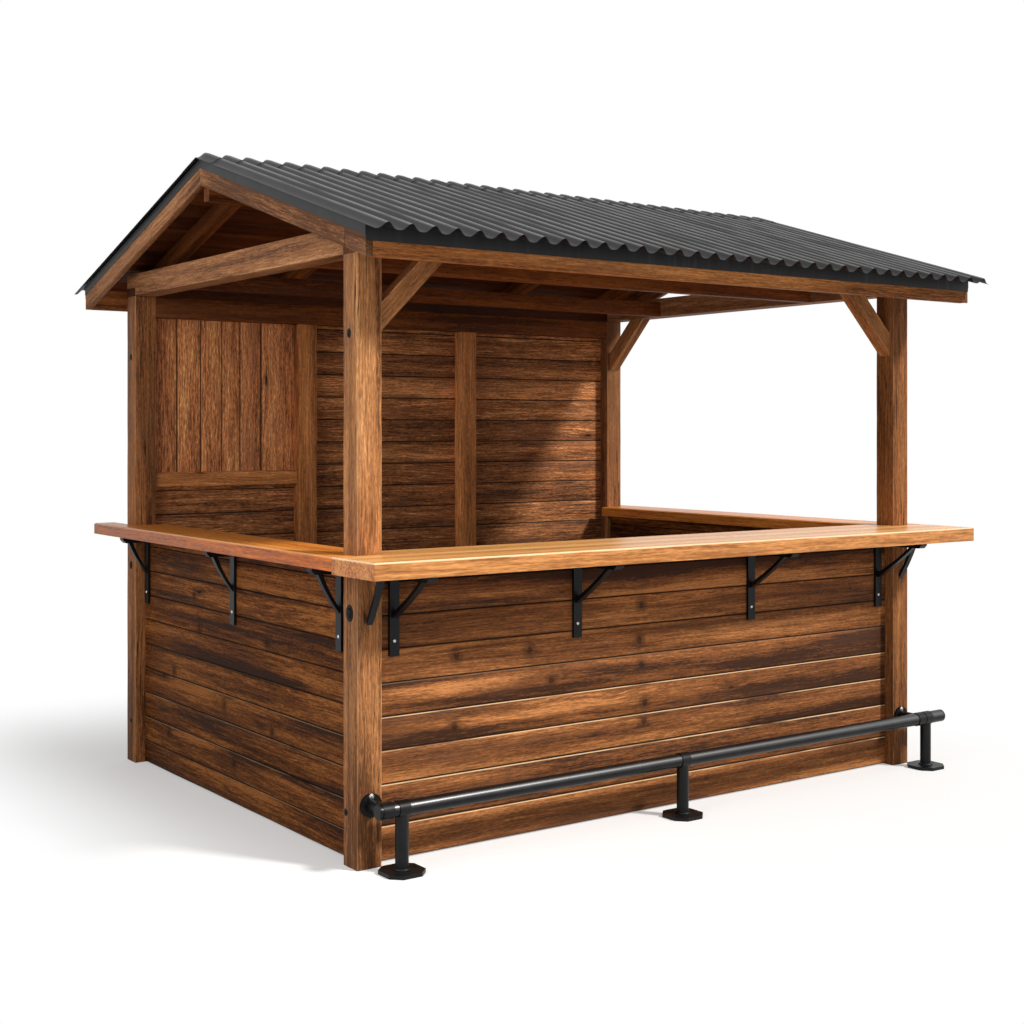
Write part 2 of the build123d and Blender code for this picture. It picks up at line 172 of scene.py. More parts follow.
# Pale upper lips of the boards, partly scuffed wood and partly a painted highlight where the arris catches
# the light: how pale they are, and the heights between which that fades out upwards, as painted shade below
# the counters
FRONT_LIP = (0.9, 0.54, 0.66)
SIDE_LIP = (0.2, 0.40, 0.60)
REAR_LIP = (0.12, 0.5, 3.0)
UPRIGHT_LIP = (0.08, 0.5, 3.0)

# Stains on the wood, and painted shade and light where marked, as place along the side, height, half length,
# half height and how much paler they are
FRONT_RUNS = (
    (-0.75, 0.462, 0.75, 0.034, 0.26),
    (0.85, 0.470, 0.60, 0.030, 0.19),
    (-1.05, 0.600, 0.60, 0.026, 0.22),
    (0.05, 0.618, 0.55, 0.024, 0.17),
    (-0.85, 0.545, 0.75, 0.030, -0.21),
    (0.55, 0.560, 0.55, 0.032, -0.20),
    (-0.55, 0.335, 0.95, 0.040, -0.16),
    (0.60, 0.310, 0.70, 0.040, -0.12),
    (-0.90, 0.240, 0.50, 0.024, 0.20),
    (-0.75, 0.675, 0.60, 0.024, 0.16),
    (0.55, 0.672, 0.80, 0.026, 0.16),
    (0.30, 0.430, 0.55, 0.022, -0.14),
    # The next two rows: painted shade right under the front counter, and a paler band below it that lifts the
    # counter's cast shadow as painted light
    (0.00, 1.040, 4.00, 0.120, -0.62),
    (0.20, 0.830, 1.90, 0.095, 0.36),
    (1.10, 0.430, 0.95, 0.360, -0.34),
)
SIDE_RUNS = (
    (0.10, 0.572, 0.85, 0.034, -0.44),
    (-0.40, 0.236, 0.75, 0.038, -0.53),
    (0.60, 0.228, 0.45, 0.020, -0.36),
    (0.60, 0.520, 0.40, 0.030, 0.36),
    (0.45, 0.192, 0.40, 0.026, 0.44),
    (-0.42, 0.182, 0.45, 0.022, 0.44),
    (0.55, 0.640, 0.45, 0.026, 0.20),
)
# Painted shade at the foot of the left posts, and the barge boards darker over their front half
POST_RUNS = ((-1.40, 0.000, 1.50, 0.580, -0.36),)
BARGE_RUNS = ((-0.75, 2.400, 0.95, 0.900, -0.75),)

# Scars in the boards, as place along the side and height, and half their size
FRONT_SCARS = (
    (-0.115, 0.835),
    (-0.126, 0.692),
    (-0.115, 0.589),
    (-0.098, 0.439),
    (-0.104, 0.363),
    (-1.009, 0.706),
    (-0.673, 0.697),
    (-0.572, 0.570),
    (-1.018, 0.448),
)
SIDE_SCARS = (
    (0.425, 0.816),
    (0.371, 0.689),
    (0.649, 0.464),
    (0.707, 0.186),
    (-0.279, 0.695),
    (-0.323, 0.353),
    (0.122, 0.393),
    (0.022, 0.165),
)
SCAR_HALF = (0.017, 0.019)


def node_box(node):
    """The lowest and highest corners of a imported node, as one array of two rows."""
    return np.array(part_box(node), dtype=float)


def placed(name, data, place=(0.0, 0.0, 0.0)):
    """An object at a place, linked to the scene."""
    made = bpy.data.objects.new(name, data)
    made.location = place
    bpy.context.scene.collection.objects.link(made)
    return made


# Meshes


def skin(name, rings, finish, replaces=(), attributes=None, crease=32.0):
    """Make one piece from swept solids.

    `rings` holds, for each solid, a row of closed outlines. Quads join each outline to the next, with the
    last point joined to the first, and a flat face closes each end. The sign of the enclosed volume, a sum of
    triple products over the quads' triangles, says which way round the faces go.
    """
    solids, stations, points = rings.shape[:3]
    station, point = np.meshgrid(np.arange(stations - 1), np.arange(points), indexing="ij")
    after = (point + 1) % points
    quads = np.stack(
        [
            station * points + point,
            station * points + after,
            (station + 1) * points + after,
            (station + 1) * points + point,
        ],
        axis=-1,
    ).reshape(1, -1, 4)
    first = np.arange(solids).reshape(-1, 1, 1) * stations * points
    quads = (quads + first).reshape(-1, 4)
    ring = np.arange(points)
    ends = np.stack([ring[::-1], (stations - 1) * points + ring])[None] + first
    ends = ends.reshape(-1, points)
    vertices = rings.reshape(-1, 3)
    middle = vertices.mean(axis=0)
    a, b, c, d = (vertices[quads[:, k]] - middle for k in range(4))
    volume = (np.cross(a, b) * c).sum() + (np.cross(a, c) * d).sum()
    if volume < 0:
        quads = quads[:, ::-1]
        ends = ends[:, ::-1]

    mesh = bpy.data.meshes.new(name)
    mesh.vertices.add(len(vertices))
    mesh.vertices.foreach_set("co", vertices.ravel())
    corners = np.concatenate([quads.ravel(), ends.ravel()])
    sizes = np.concatenate([np.full(len(quads), 4), np.full(len(ends), points)])
    mesh.loops.add(len(corners))
    mesh.loops.foreach_set("vertex_index", corners.astype(np.int32))
    mesh.polygons.add(len(sizes))
    mesh.polygons.foreach_set("loop_start", (np.cumsum(sizes) - sizes).astype(np.int32))
    mesh.update(calc_edges=True)
    mesh.validate()
    mesh.set_sharp_from_angle(angle=math.radians(crease))
    for key, values in (attributes or {}).items():
        layer = mesh.attributes.new(key, "FLOAT_VECTOR", "POINT")
        layer.data.foreach_set("vector", values.reshape(-1, 3).astype(np.float32).ravel())
    mesh.materials.append(finish)
    piece = placed(name, mesh)
    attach(piece, "root")
    if replaces:
        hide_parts(*replaces)


def unit(vectors):
    """Vectors scaled to length one."""
    vectors = np.asarray(vectors, dtype=float)
    return vectors / np.linalg.norm(vectors, axis=-1, keepdims=True)


def per_timber(vectors):
    """One vector for each timber, shaped to spread over the points of its outlines."""
    return vectors[:, None, None, :]


def sawn(start, along, face, length, width, depth, ease, seed, stations=14, leans=(0.0, 0.0), bow=0.0):
    """Sawn timbers as swept outlines, with the grain that runs through them.

    An outline is a rectangle, `width` by `depth`, whose corners are quarter circles of an uneven radius near
    `ease`. It is carried along a straight line from the middle of the first end, drawn in by `ease` at both
    ends, and pushed towards `face` by a slow sine of height `bow`. An end leans where a point moves along the
    timber by its place across the timber times that end's lean.
    """
    vectors = (np.atleast_2d(np.asarray(v, dtype=float)) for v in (start, along, face))
    start, along, face = np.broadcast_arrays(*vectors)
    count = max(len(start), np.size(length), np.size(width))
    start, along, face = (np.broadcast_to(v, (count, 3)) for v in (start, along, face))
    across = np.cross(face, along)
    length, width, depth = (np.broadcast_to(v, (count,)).reshape(-1, 1, 1) for v in (length, width, depth))
    draw = np.random.default_rng(seed)

    turn = np.radians([0, 45, 90, 90, 135, 180, 180, 225, 270, 270, 315, 360])
    side = np.repeat([1, -1, -1, 1], 3)
    top = np.repeat([1, 1, -1, -1], 3)
    radius = ease * (0.75 + 0.6 * draw.random((count, stations, 1)))
    drawn_in = ease * 0.6
    inset = np.zeros(stations)
    inset[[0, -1]] = drawn_in
    inset = inset.reshape(1, -1, 1)
    share = np.linspace(0, 1, stations - 2)
    share = np.concatenate([[0], share, [1]]).reshape(1, -1, 1)
    reach = length * share
    reach[:, 1] += drawn_in
    reach[:, -2] -= drawn_in

    p = side * (width / 2 - radius - inset) + radius * np.cos(turn)
    q = top * (depth / 2 - radius - inset) + radius * np.sin(turn)
    t = reach + p * (leans[0] * (1 - share) + leans[1] * share)
    swing = draw.random((2, count, 1, 1))
    lift = bow * np.sin(2 * np.pi * (share * (0.6 + swing[0]) + swing[1]))
    rings = per_timber(start) + t[..., None] * per_timber(along) + p[..., None] * per_timber(across)
    rings = rings + (q + lift)[..., None] * per_timber(face)

    shift = draw.random((count, 1, 1, 3)) * np.array([40.0, 6.0, 6.0])
    grain = np.stack(np.broadcast_arrays(t, p, q), axis=-1) + shift
    tone = np.broadcast_to(draw.random((count, 1, 1)), t.shape)
    board = np.stack(np.broadcast_arrays(tone, p / (width / 2), q / (depth / 2)), axis=-1)
    return rings, {"grain": grain, "board": board}


def sawn_boxes(boxes, along, face, ease, seed, **options):
    """Timbers that fill upright boxes (lowest and highest corner each), with the grain along one axis."""
    boxes = np.asarray(boxes, dtype=float).reshape(-1, 2, 3)
    size = boxes[:, 1] - boxes[:, 0]
    middle = boxes.mean(axis=1)
    length = size @ np.abs(along)
    across = np.abs(np.cross(face, along))
    start = middle - along * (length / 2)[:, None]
    return sawn(start, along, face, length, size @ across, size @ np.abs(face), ease, seed, **options)


def stack(box, axis, joints):
    """Split a box at each joint along an axis, one box after another."""
    low, high = box[0][axis], box[1][axis]
    joints = np.asarray(joints, dtype=float)
    edges = np.concatenate([[low], joints[(joints > low) & (joints < high)], [high]])
    boxes = np.repeat(np.asarray(box, dtype=float)[None], len(edges) - 1, axis=0)
    boxes[:, 0, axis] = edges[:-1]
    boxes[:, 1, axis] = edges[1:]
    return boxes


def turned(profile, centres, axes, sides=20, sizes=1.0, stretch=1.0):
    """Turned shapes: a half outline of (radius, height) pairs carried round an axis through each centre.

    Point (i, j) is the centre, plus height i along the axis, plus radius i times the two cross directions at
    the angle of j, the second of them stretched. Each shape has a size that scales its outline.
    """
    profile = np.asarray(profile, dtype=float)
    centres, axes = np.broadcast_arrays(np.atleast_2d(centres), unit(np.atleast_2d(axes)))
    helper = np.where(np.abs(axes[:, [2]]) < 0.9, Z_AXIS, X_AXIS)
    first = unit(np.cross(helper, axes))
    second = np.cross(axes, first)
    angle = np.linspace(0, 2 * np.pi, sides, endpoint=False)
    circle = first[:, None] * np.cos(angle)[:, None] + stretch * second[:, None] * np.sin(angle)[:, None]
    shape = profile[:, 1][None, :, None, None] * axes[:, None, None]
    shape = shape + profile[:, 0][None, :, None, None] * circle[:, None]
    return centres[:, None, None] + np.reshape(sizes, (-1, 1, 1, 1)) * shape


def slope_axes(front):
    """Directions down a slope and out of it. `front` is -1 for the front slope and 1 for the rear one."""
    down = np.array([0, front * math.cos(PITCH), -math.sin(PITCH)])
    up = np.array([0, front * math.sin(PITCH), math.cos(PITCH)])
    return down, up


def wave_sheet(x, reach, rise, height, pitch, thickness, front):
    """A corrugated sheet on one slope, as closed outlines along X.

    Over the slope's plane the metal stands `rise` plus the wave height times a sharpened cosine lobe along X,
    with wide troughs at both edges, plus slow low swells. An outline runs down the upper skin and back up the
    lower one.
    """
    x = x[:, None]
    s = reach[None]
    swell = SWELL_HEIGHT * np.sin(3.1 * x + 2.3 * s) * np.sin(4.7 * s + 1.3 * x + 0.6)
    lobe = (1 - np.cos(2 * np.pi * (x - x[0]) / pitch)) / 2
    lift = rise + height * lobe**CREST_SHARPNESS + swell
    over = np.concatenate([lift + thickness, lift[:, ::-1]], axis=1)
    along = np.concatenate([s, s[:, ::-1]], axis=1) + 0 * over
    down, up = slope_axes(front)
    return along[..., None] * down + over[..., None] * up + (x + 0 * over)[..., None] * X_AXIS


# Shader maths


class Field:
    """One value in a shader tree: Python's operators on it add Math nodes."""

    def __init__(self, shader, socket):
        self.shader = shader
        self.socket = socket

    def math(self, operation, first, second=0.0):
        return self.shader.node("ShaderNodeMath", {"operation": operation}, {0: first, 1: second})

    def __add__(self, other):
        return self.math("ADD", self, other)

    def __radd__(self, other):
        return self.math("ADD", other, self)

    def __sub__(self, other):
        return self.math("SUBTRACT", self, other)

    def __rsub__(self, other):
        return self.math("SUBTRACT", other, self)

    def __mul__(self, other):
        return self.math("MULTIPLY", self, other)

    def __rmul__(self, other):
        return self.math("MULTIPLY", other, self)

    def __truediv__(self, other):
        return self.math("DIVIDE", self, other)

    def __rtruediv__(self, other):
        return self.math("DIVIDE", other, self)

    def __pow__(self, other):
        return self.math("POWER", self, other)

    def __abs__(self):
        return self.math("ABSOLUTE", self)

    def floor(self):
        return self.math("FLOOR", self)

    def ramp(self, low, high):
        """A smooth step: 0 at `low`, 1 at `high`."""
        sockets = {"Value": self, "From Min": low, "From Max": high}
        return self.shader.node("ShaderNodeMapRange", {"interpolation_type": "SMOOTHSTEP"}, sockets)


class Shader:
    """A node tree that is filled from Python expressions."""

    def __init__(self, owner):
        owner.use_nodes = True
        self.owner = owner
        self.tree = owner.node_tree
        self.tree.nodes.clear()

    def node(self, kind, settings=None, sockets=None, output=0):
        """Add a node: its settings first, then its sockets' values or links. Gives one output, if any."""
        made = self.tree.nodes.new(kind)
        for key, value in (settings or {}).items():
            setattr(made, key, value)
        for key, value in (sockets or {}).items():
            if isinstance(value, Field):
                self.tree.links.new(value.socket, made.inputs[key])
            else:
                made.inputs[key].default_value = value
        return Field(self, made.outputs[output]) if made.outputs else None

    def vector(self, x, y, z):
        return self.node("ShaderNodeCombineXYZ", {}, {"X": x, "Y": y, "Z": z})

    def split(self, vector):
        made = self.node("ShaderNodeSeparateXYZ", {}, {"Vector": vector}).socket.node
        return [Field(self, made.outputs[k]) for k in range(3)]

    def place(self):
        """The three Object coordinates of a point."""
        return self.split(self.node("ShaderNodeTexCoord", output="Object"))

    def attribute(self, name):
        """The three parts of a vector attribute."""
        return self.split(self.node("ShaderNodeAttribute", {"attribute_name": name}, output="Vector"))

    def noise(self, x, y, z, detail=2.0, roughness=0.5):
        sockets = {"Vector": self.vector(x, y, z), "Scale": 1.0, "Detail": detail, "Roughness": roughness}
        return self.node("ShaderNodeTexNoise", {}, sockets)

    def drawn_noise(self, point, long, cross, shift=0.0, **options):
        """Noise with one scale along a point's first coordinate and another along the other two."""
        along, across, through = point
        along = along * long + shift if shift else along * long
        return self.noise(along, across * cross, through * cross, **options)

    def even_noise(self, point, scale, **options):
        """Noise with one scale along all three coordinates."""
        return self.drawn_noise(point, scale, scale, **options)

    def cells(self, x, y, z):
        """Distance to the nearest scattered point, and a random number for that point's cell."""
        sockets = {"Vector": self.vector(x, y, z), "Scale": 1.0}
        made = self.node("ShaderNodeTexVoronoi", {}, sockets).socket.node
        chance = self.split(Field(self, made.outputs["Color"]))[0]
        return Field(self, made.outputs["Distance"]), chance

    def mix(self, factor, first, second):
        """One colour laid over another."""
        first, second = (c if isinstance(c, Field) else (*c, 1.0) for c in (first, second))
        return self.node("ShaderNodeMix", {"data_type": "RGBA"}, {0: factor, 6: first, 7: second}, output=2)

    def glaze(self, factor, colour, tint):
        """A colour multiplied by a tint, in part."""
        settings = {"data_type": "RGBA", "blend_type": "MULTIPLY"}
        return self.node("ShaderNodeMix", settings, {0: factor, 6: colour, 7: (*tint, 1.0)}, output=2)

    def shade(self, colour, amount):
        """A colour times a number."""
        return self.node("ShaderNodeVectorMath", {"operation": "SCALE"}, {0: colour, "Scale": amount})

    def surface(self, colour, roughness, height, depth, strength, others):
        """Close the tree with a Principled surface, its height as a bump."""
        bump = self.node("ShaderNodeBump", {}, {"Strength": strength, "Distance": depth, "Height": height})
        sockets = {"Base Color": colour, "Roughness": roughness, "Normal": bump, **others}
        body = self.node("ShaderNodeBsdfPrincipled", {}, sockets)
        self.node("ShaderNodeOutputMaterial", {}, {"Surface": body})
        return self.owner


def material(name):
    return Shader(bpy.data.materials.new(name))


# Finishes


def grain_of_boards(shader):
    """Grain that a piece carries, a tone for each board, and the place in the board's section."""
    tone, edge, deep = shader.attribute("board")
    return shader.attribute("grain"), tone, edge, deep


def grain_towards(direction, side, mirrored=False):
    """Grain from Object coordinates, for packed timbers. `mirrored` folds X about the middle."""
    axes = [unit(direction), unit(side)]
    axes.append(np.cross(*axes))

    def read(shader):
        x, y, z = shader.place()
        if mirrored:
            x = abs(x)
        tone = shader.even_noise((x, y, z), 0.9, detail=0.0)
        along, across, through = (x * float(a) + y * float(b) + z * float(c) for a, b, c in axes)
        return (along, across + 3.0, through + 7.0), tone, None, None

    return read


def ellipse(first, second, place, half):
    """The squared distance of a point from a place on a face, where 1 is the rim of an ellipse round it."""
    a = (first - place[0]) / half[0]
    b = (second - place[1]) / half[1]
    return a * a + b * b


def stained_timber(
    name,
    read,
    tones,
    weights=(1.5, 0.9, 0.9, 0.7),
    knots=0.12,
    checks=0.0,
    wear=None,
    lip=None,
    arris=0.0,
    gloss=0.12,
):
    """Oiled, brushed softwood.

    Noise drawn out along the grain gives a soft wash, long bands, streaks and short flecks. Their weighted
    sum is a level that picks a tone from dark to pale. Knots are ellipses round scattered points, and push
    the grain aside. Checks are thin cracks where a slow noise crosses its middle. `wear` names
    an axis, ellipses along it that raise or lower the level, for stains and, where a caller gives them,
    painted shade, and places of ragged scars. Joints between boards hold dirt. A post's arris and a
    board's upper lip are pale, partly scuffed wood and partly a painted highlight where the edge catches
    the light, and the lip fades out above a height, as painted shade.
    """
    pale, middle, dark = tones
    shadow = tuple(0.2 * c for c in dark)
    umber = tuple(0.45 * c + 0.13 * sum(middle) / 3 for c in middle)
    shader = material(name)
    straight, tone, edge, deep = read(shader)
    along, across, through = straight
    point = shader.place()
    far, chance = shader.cells(along * 3.0, across * 11.0, through * 11.0)
    present = chance.ramp(1.0 - knots, 1.01 - knots)
    sway = shader.drawn_noise(straight, 1.3, 7.0) - 0.5
    bent = along, across + sway * 0.03 + far.ramp(0.55, 0.05) * present * 0.012, through
    wash = shader.drawn_noise(bent, 0.9, 11.0, detail=1.0)
    bands = shader.drawn_noise(bent, 0.9, 36.0)
    streaks = shader.drawn_noise(bent, 8.0, 150.0, detail=3.0, roughness=0.6)
    flecks = shader.drawn_noise(bent, 42.0, 300.0, roughness=0.65)
    level = (tone - 0.5) * 0.3 + 0.5
    for weight, layer in zip(weights, (wash, bands, streaks, flecks)):
        level = level + (layer - 0.5) * weight
    axis, runs, scars = wear or (0, (), ())
    # Ellipses that raise or lower the level: stains, and painted shade where a caller gives it
    for at, height, half, deep_half, amount in runs:
        run = ellipse(point[axis], point[2] + sway * 0.05, (at, height), (half, deep_half))
        level = level + run.ramp(1.0, 0.0) * amount
    colour = shader.mix(level.ramp(0.02, 0.55), dark, middle)
    colour = shader.mix(level.ramp(0.46, 1.10), colour, pale)
    colour = shader.shade(colour, 1.0 + (streaks - 0.5) * 0.9 + (flecks - 0.5) * 0.9)
    ash = shader.drawn_noise(straight, 1.1, 8.0, shift=5.0)
    colour = shader.mix(ash.ramp(0.52, 0.74) * 0.4, colour, umber)

    rim = far + (streaks - 0.5) * 0.14
    knot = rim.ramp(0.10, 0.05) * present
    halo = rim.ramp(0.30, 0.08) * present
    nick = shader.drawn_noise(bent, 17.0, 170.0, detail=1.0).ramp(0.67, 0.75)
    slow = shader.drawn_noise(bent, 0.9, 48.0, shift=3.0, detail=1.0)
    patches = shader.drawn_noise(straight, 2.1, 9.0, shift=9.0, detail=0.0)
    crack = abs(slow - 0.5).ramp(0.016, 0.004) * patches.ramp(0.54, 0.64) * checks
    colour = shader.mix(halo * 0.55, colour, dark)
    colour = shader.mix(nick * 0.5, colour, shadow)
    colour = shader.mix(crack * 0.9, colour, shadow)
    colour = shader.mix(knot * 0.92, colour, shadow)
    height = wash * 0.4 + streaks * 0.6 + flecks * 0.6 - nick * 0.5 - crack * 1.2 - knot * 0.5
    if scars:
        ragged = shader.even_noise(point, 60.0, detail=3.0) - 0.5
        for place in scars:
            near = ellipse(point[axis], point[2], place, SCAR_HALF) + ragged * 2.4
            scar = near.ramp(1.0, 0.1)
            colour = shader.mix(near.ramp(6.0, 0.5) * 0.5, colour, dark)
            colour = shader.mix(scar * 0.65, colour, shadow)
            height = height - scar * 0.6
    if edge is not None:
        broken = shader.drawn_noise(straight, 2.6, 2.0).ramp(0.3, 0.5)
        if lip:
            amount, low, high = lip
            colour = shader.mix(abs(edge).ramp(0.905, 0.975) * 0.88, colour, shadow)
            # Pale upper lip: partly scuffed wood and partly a painted highlight, fading out above a height as
            # painted shade
            rubbed = edge.ramp(0.89, 0.91) * edge.ramp(0.97, 0.945) * broken * point[2].ramp(high, low)
            colour = shader.mix(rubbed * amount, colour, SCUFFED_AND_LIT_WOOD)
        # Pale arris: partly scuffed wood and partly a painted highlight along the edge
        if arris:
            corner = abs(edge * deep).ramp(0.90, 0.965) * broken
            colour = shader.mix(corner * arris, colour, SCUFFED_AND_LIT_WOOD)
    rough = 0.62 + (flecks - 0.5) * 0.3 + (wash - 0.5) * 0.25
    return shader.surface(colour, rough, height, 0.0018, 0.5, {"Specular IOR Level": gloss})


def oiled_counter(name, axis, tones, strip, rim, rubbed=0.85, gloss=0.3, rear_shade=0.0):
    """Honey-coloured counter of glued strips.

    Each strip has a tone and its own place in the noise that gives long bands, streaks and flecks. The upper
    edge, within a few millimetres of the `rim` planes and above the side faces, is a pale wavering line,
    partly scuffed wood and partly a painted highlight where the edge catches the light. The upright faces are
    darker and redder than the top as painted shade, the end grain darker still in its own tone, and
    `rear_shade` paints shade over the rear.
    """
    pale, middle, dark = tones
    scuffed_and_lit_tone = tuple(min(1.0, 0.75 * c + 0.27) for c in pale)
    shader = material(name)
    x, y, z = shader.place()
    along, across = (x, y) if axis == 0 else (y, x)
    row = (across / strip).floor()
    place = across / strip - row
    pick = shader.node("ShaderNodeTexWhiteNoise", {"noise_dimensions": "1D"}, {"W": row})
    shifted = along + pick * 7.0
    sway = shader.drawn_noise((shifted, across, z), 0.8, 6.0) - 0.5
    bent = shifted, across + sway * 0.03, z
    bands = shader.drawn_noise(bent, 0.7, 22.0)
    streaks = shader.drawn_noise(bent, 3.2, 85.0, detail=3.0, roughness=0.6)
    flecks = shader.drawn_noise(bent, 22.0, 200.0, roughness=0.6)
    level = (bands - 0.5) * 0.9 + (streaks - 0.5) * 1.2 + (flecks - 0.5) * 0.7 + (pick - 0.5) * 0.35 + 0.5
    colour = shader.mix(level.ramp(0.08, 0.55), dark, middle)
    colour = shader.mix(level.ramp(0.45, 1.0), colour, pale)
    nick = shader.drawn_noise(bent, 14.0, 150.0, detail=1.0).ramp(0.67, 0.75)
    seam = abs(place - 0.5).ramp(0.489, 0.498)
    colour = shader.mix(nick * 0.45, colour, dark)
    colour = shader.mix(seam * 0.4, colour, dark)
    waver = shader.noise(x * 9.0, y * 9.0, 0.0, detail=3.0) - 0.5
    half, front, top = rim
    beyond = abs(x).ramp(half - 0.007, half - 0.004)
    if front is not None:
        ahead = y.ramp(front + 0.007, front + 0.004)
        beyond = 1.0 - (1.0 - beyond) * (1.0 - ahead)
    edge = beyond * (z + waver * 0.007).ramp(top - 0.0062, top - 0.0042)
    # Pale upper edge: partly scuffed wood and partly a painted highlight where the edge catches the light
    colour = shader.mix(edge * rubbed, colour, scuffed_and_lit_tone)
    upright = z.ramp(top - 0.005, top - 0.008)
    ends = abs(x).ramp(half - 0.004, half - 0.002) * upright
    # Painted shade: the upright faces darker and redder than the top; the end grain is darker still in its
    # own tone
    colour = shader.glaze(upright, colour, (0.74, 0.66, 0.64))
    colour = shader.glaze(ends, colour, (0.92, 0.78, 0.60))
    # Painted shade over the rear of the counter, for the shade under the roof
    colour = shader.shade(colour, 1.0 - y.ramp(-0.55, 0.55) * rear_shade)
    colour = shader.shade(colour, 1.0 + upright * ((streaks - 0.5) * 1.1 + (flecks - 0.5) * 0.7))
    rough = 0.33 + (streaks - 0.5) * 0.35 + (flecks - 0.5) * 0.25
    height = streaks * 0.6 + flecks * 0.5 - nick * 0.4 - seam * 0.5
    return shader.surface(colour, rough, height, 0.0009, 0.4, {"Specular IOR Level": gloss})


def painted_sheet(name, colour, roughness, wave=None):
    """Charcoal-coated roofing steel: soft blotches of dust and chalking, run-off marks down the slope.

    On corrugated metal, `wave` is where its waves start, their pitch and, on a sheet, the ridge cap's lower
    edge. Each crest gets a painted highlight on one flank and a painted shadow along the other, each trough
    painted shade on one side, and a painted shadow lies under the cap's edge.
    """
    shader = material(name)
    point = shader.place()
    x, y, _ = point
    blotch = shader.even_noise(point, 3.0, detail=4.0, roughness=0.6)
    runs = shader.drawn_noise(point, 46.0, 1.3, detail=3.0)
    speck = shader.even_noise(point, 420.0, detail=1.0)
    dust = tuple(2.1 * c + 0.012 for c in colour)
    deep = tuple(0.5 * c for c in colour)
    level = (blotch - 0.5) * 1.1 + (runs - 0.5) * 0.7 + (speck - 0.5) * 0.3
    tint = shader.mix(level.ramp(-0.35, 0.0), deep, colour)
    tint = shader.mix(level.ramp(0.02, 0.45), tint, dust)
    if wave:
        start, pitch, cap = wave
        turns = (x - start) / pitch
        share = turns - turns.floor()
        patchy = shader.drawn_noise(point, 11.0, 2.2).ramp(0.25, 0.6)
        # Painted light on each wave: a highlight along one flank of the crest, a shadow along the other and
        # shade low in the trough
        painted_crest_highlight = share.ramp(0.36, 0.44) * share.ramp(0.52, 0.48)
        painted_crest_shadow = share.ramp(0.50, 0.55) * share.ramp(0.76, 0.60)
        painted_trough_shade = share.ramp(0.0, 0.08) * share.ramp(0.30, 0.12)
        tint = shader.mix(painted_crest_shadow * 0.9, tint, tuple(0.12 * c for c in colour))
        tint = shader.mix(painted_trough_shade * 0.25, tint, deep)
        tint = shader.mix(painted_crest_highlight * patchy * 0.85, tint, tuple(6.5 * c + 0.03 for c in colour))
        if cap is not None:
            # Painted shadow under the ridge cap's lower edge
            under = abs(y).ramp(cap - 0.002, cap + 0.001) * abs(y).ramp(cap + 0.044, cap + 0.028)
            tint = shader.mix(under * 0.95, tint, tuple(0.08 * c for c in colour))
    rough = roughness + (blotch - 0.5) * 0.3 + (speck - 0.5) * 0.15
    height = blotch * 1.0 + speck * 0.08
    return shader.surface(tint, rough, height, 0.0012, 0.3, {"Specular IOR Level": 0.24})


def black_iron(name, colour, roughness, gloss, rail=None):
    """Satin black paint on iron: a fine orange-peel skin, rubbed patches and faint scuffs.

    `rail` is the box of a round rail along X. A gloss coat from its middle to its top, but not on its end
    caps, is a painted sheen that carries the highlight there and leaves the lower half dull.
    """
    shader = material(name)
    point = shader.place()
    x, y, z = point
    peel = shader.even_noise(point, 700.0, detail=1.0)
    rub = shader.even_noise(point, 14.0, detail=4.0, roughness=0.65)
    scuff = shader.noise(x * 60.0, y * 60.0, z * 9.0, detail=3.0).ramp(0.62, 0.74)
    grey = tuple(2.6 * c + 0.006 for c in colour)
    tint = shader.mix(rub.ramp(0.4, 0.75) * 0.6, colour, grey)
    tint = shader.mix(scuff * 0.35, tint, grey)
    rough = roughness + (rub - 0.5) * 0.12 + scuff * 0.06
    others = {"Specular IOR Level": gloss}
    if rail is not None:
        (left, _, foot), (right, _, top) = rail.tolist()
        # Painted sheen: a gloss coat only on the upper half, where the highlight falls
        share = (z - (foot + top) / 2) / ((top - foot) / 2)
        painted_sheen = share.ramp(-0.05, 0.45) * share.ramp(1.0, 0.7)
        painted_sheen = painted_sheen * x.ramp(left + 0.009, left + 0.012) * x.ramp(right - 0.009, right - 0.012)
        others.update({"Coat Weight": painted_sheen, "Coat Roughness": 0.30, "Coat IOR": 1.62})
    return shader.surface(tint, rough, peel + rub * 0.4, 0.00005, 0.2, others)


def bright_steel(name):
    """Zinc screw heads, lightly tarnished."""
    shader = material(name)
    stain = shader.even_noise(shader.place(), 240.0, detail=3.0)
    tint = shader.mix(stain, (0.62, 0.60, 0.57), (0.40, 0.38, 0.35))
    return shader.surface(tint, 0.28 + stain * 0.2, stain, 0.0002, 0.2, {"Metallic": 1.0})


# Settings


def number_property(name, description, default, **options):
    return bpy.props.FloatProperty(name=name, description=description, default=default, **options)


def length_property(name, description, default):
    return number_property(name, description, default, unit="LENGTH", min=0.0)


def share_property(name, description, default):
    return number_property(name, description, default, min=0.0, max=1.0, subtype="FACTOR")


def count_property(name, description, default):
    return bpy.props.IntProperty(name=name, description=description, default=default, min=1)


def colour_property(name, description, default):
    return bpy.props.FloatVectorProperty(
        name=name, description=description, default=default, subtype="COLOR", size=3, min=0.0, max=1.0
    )


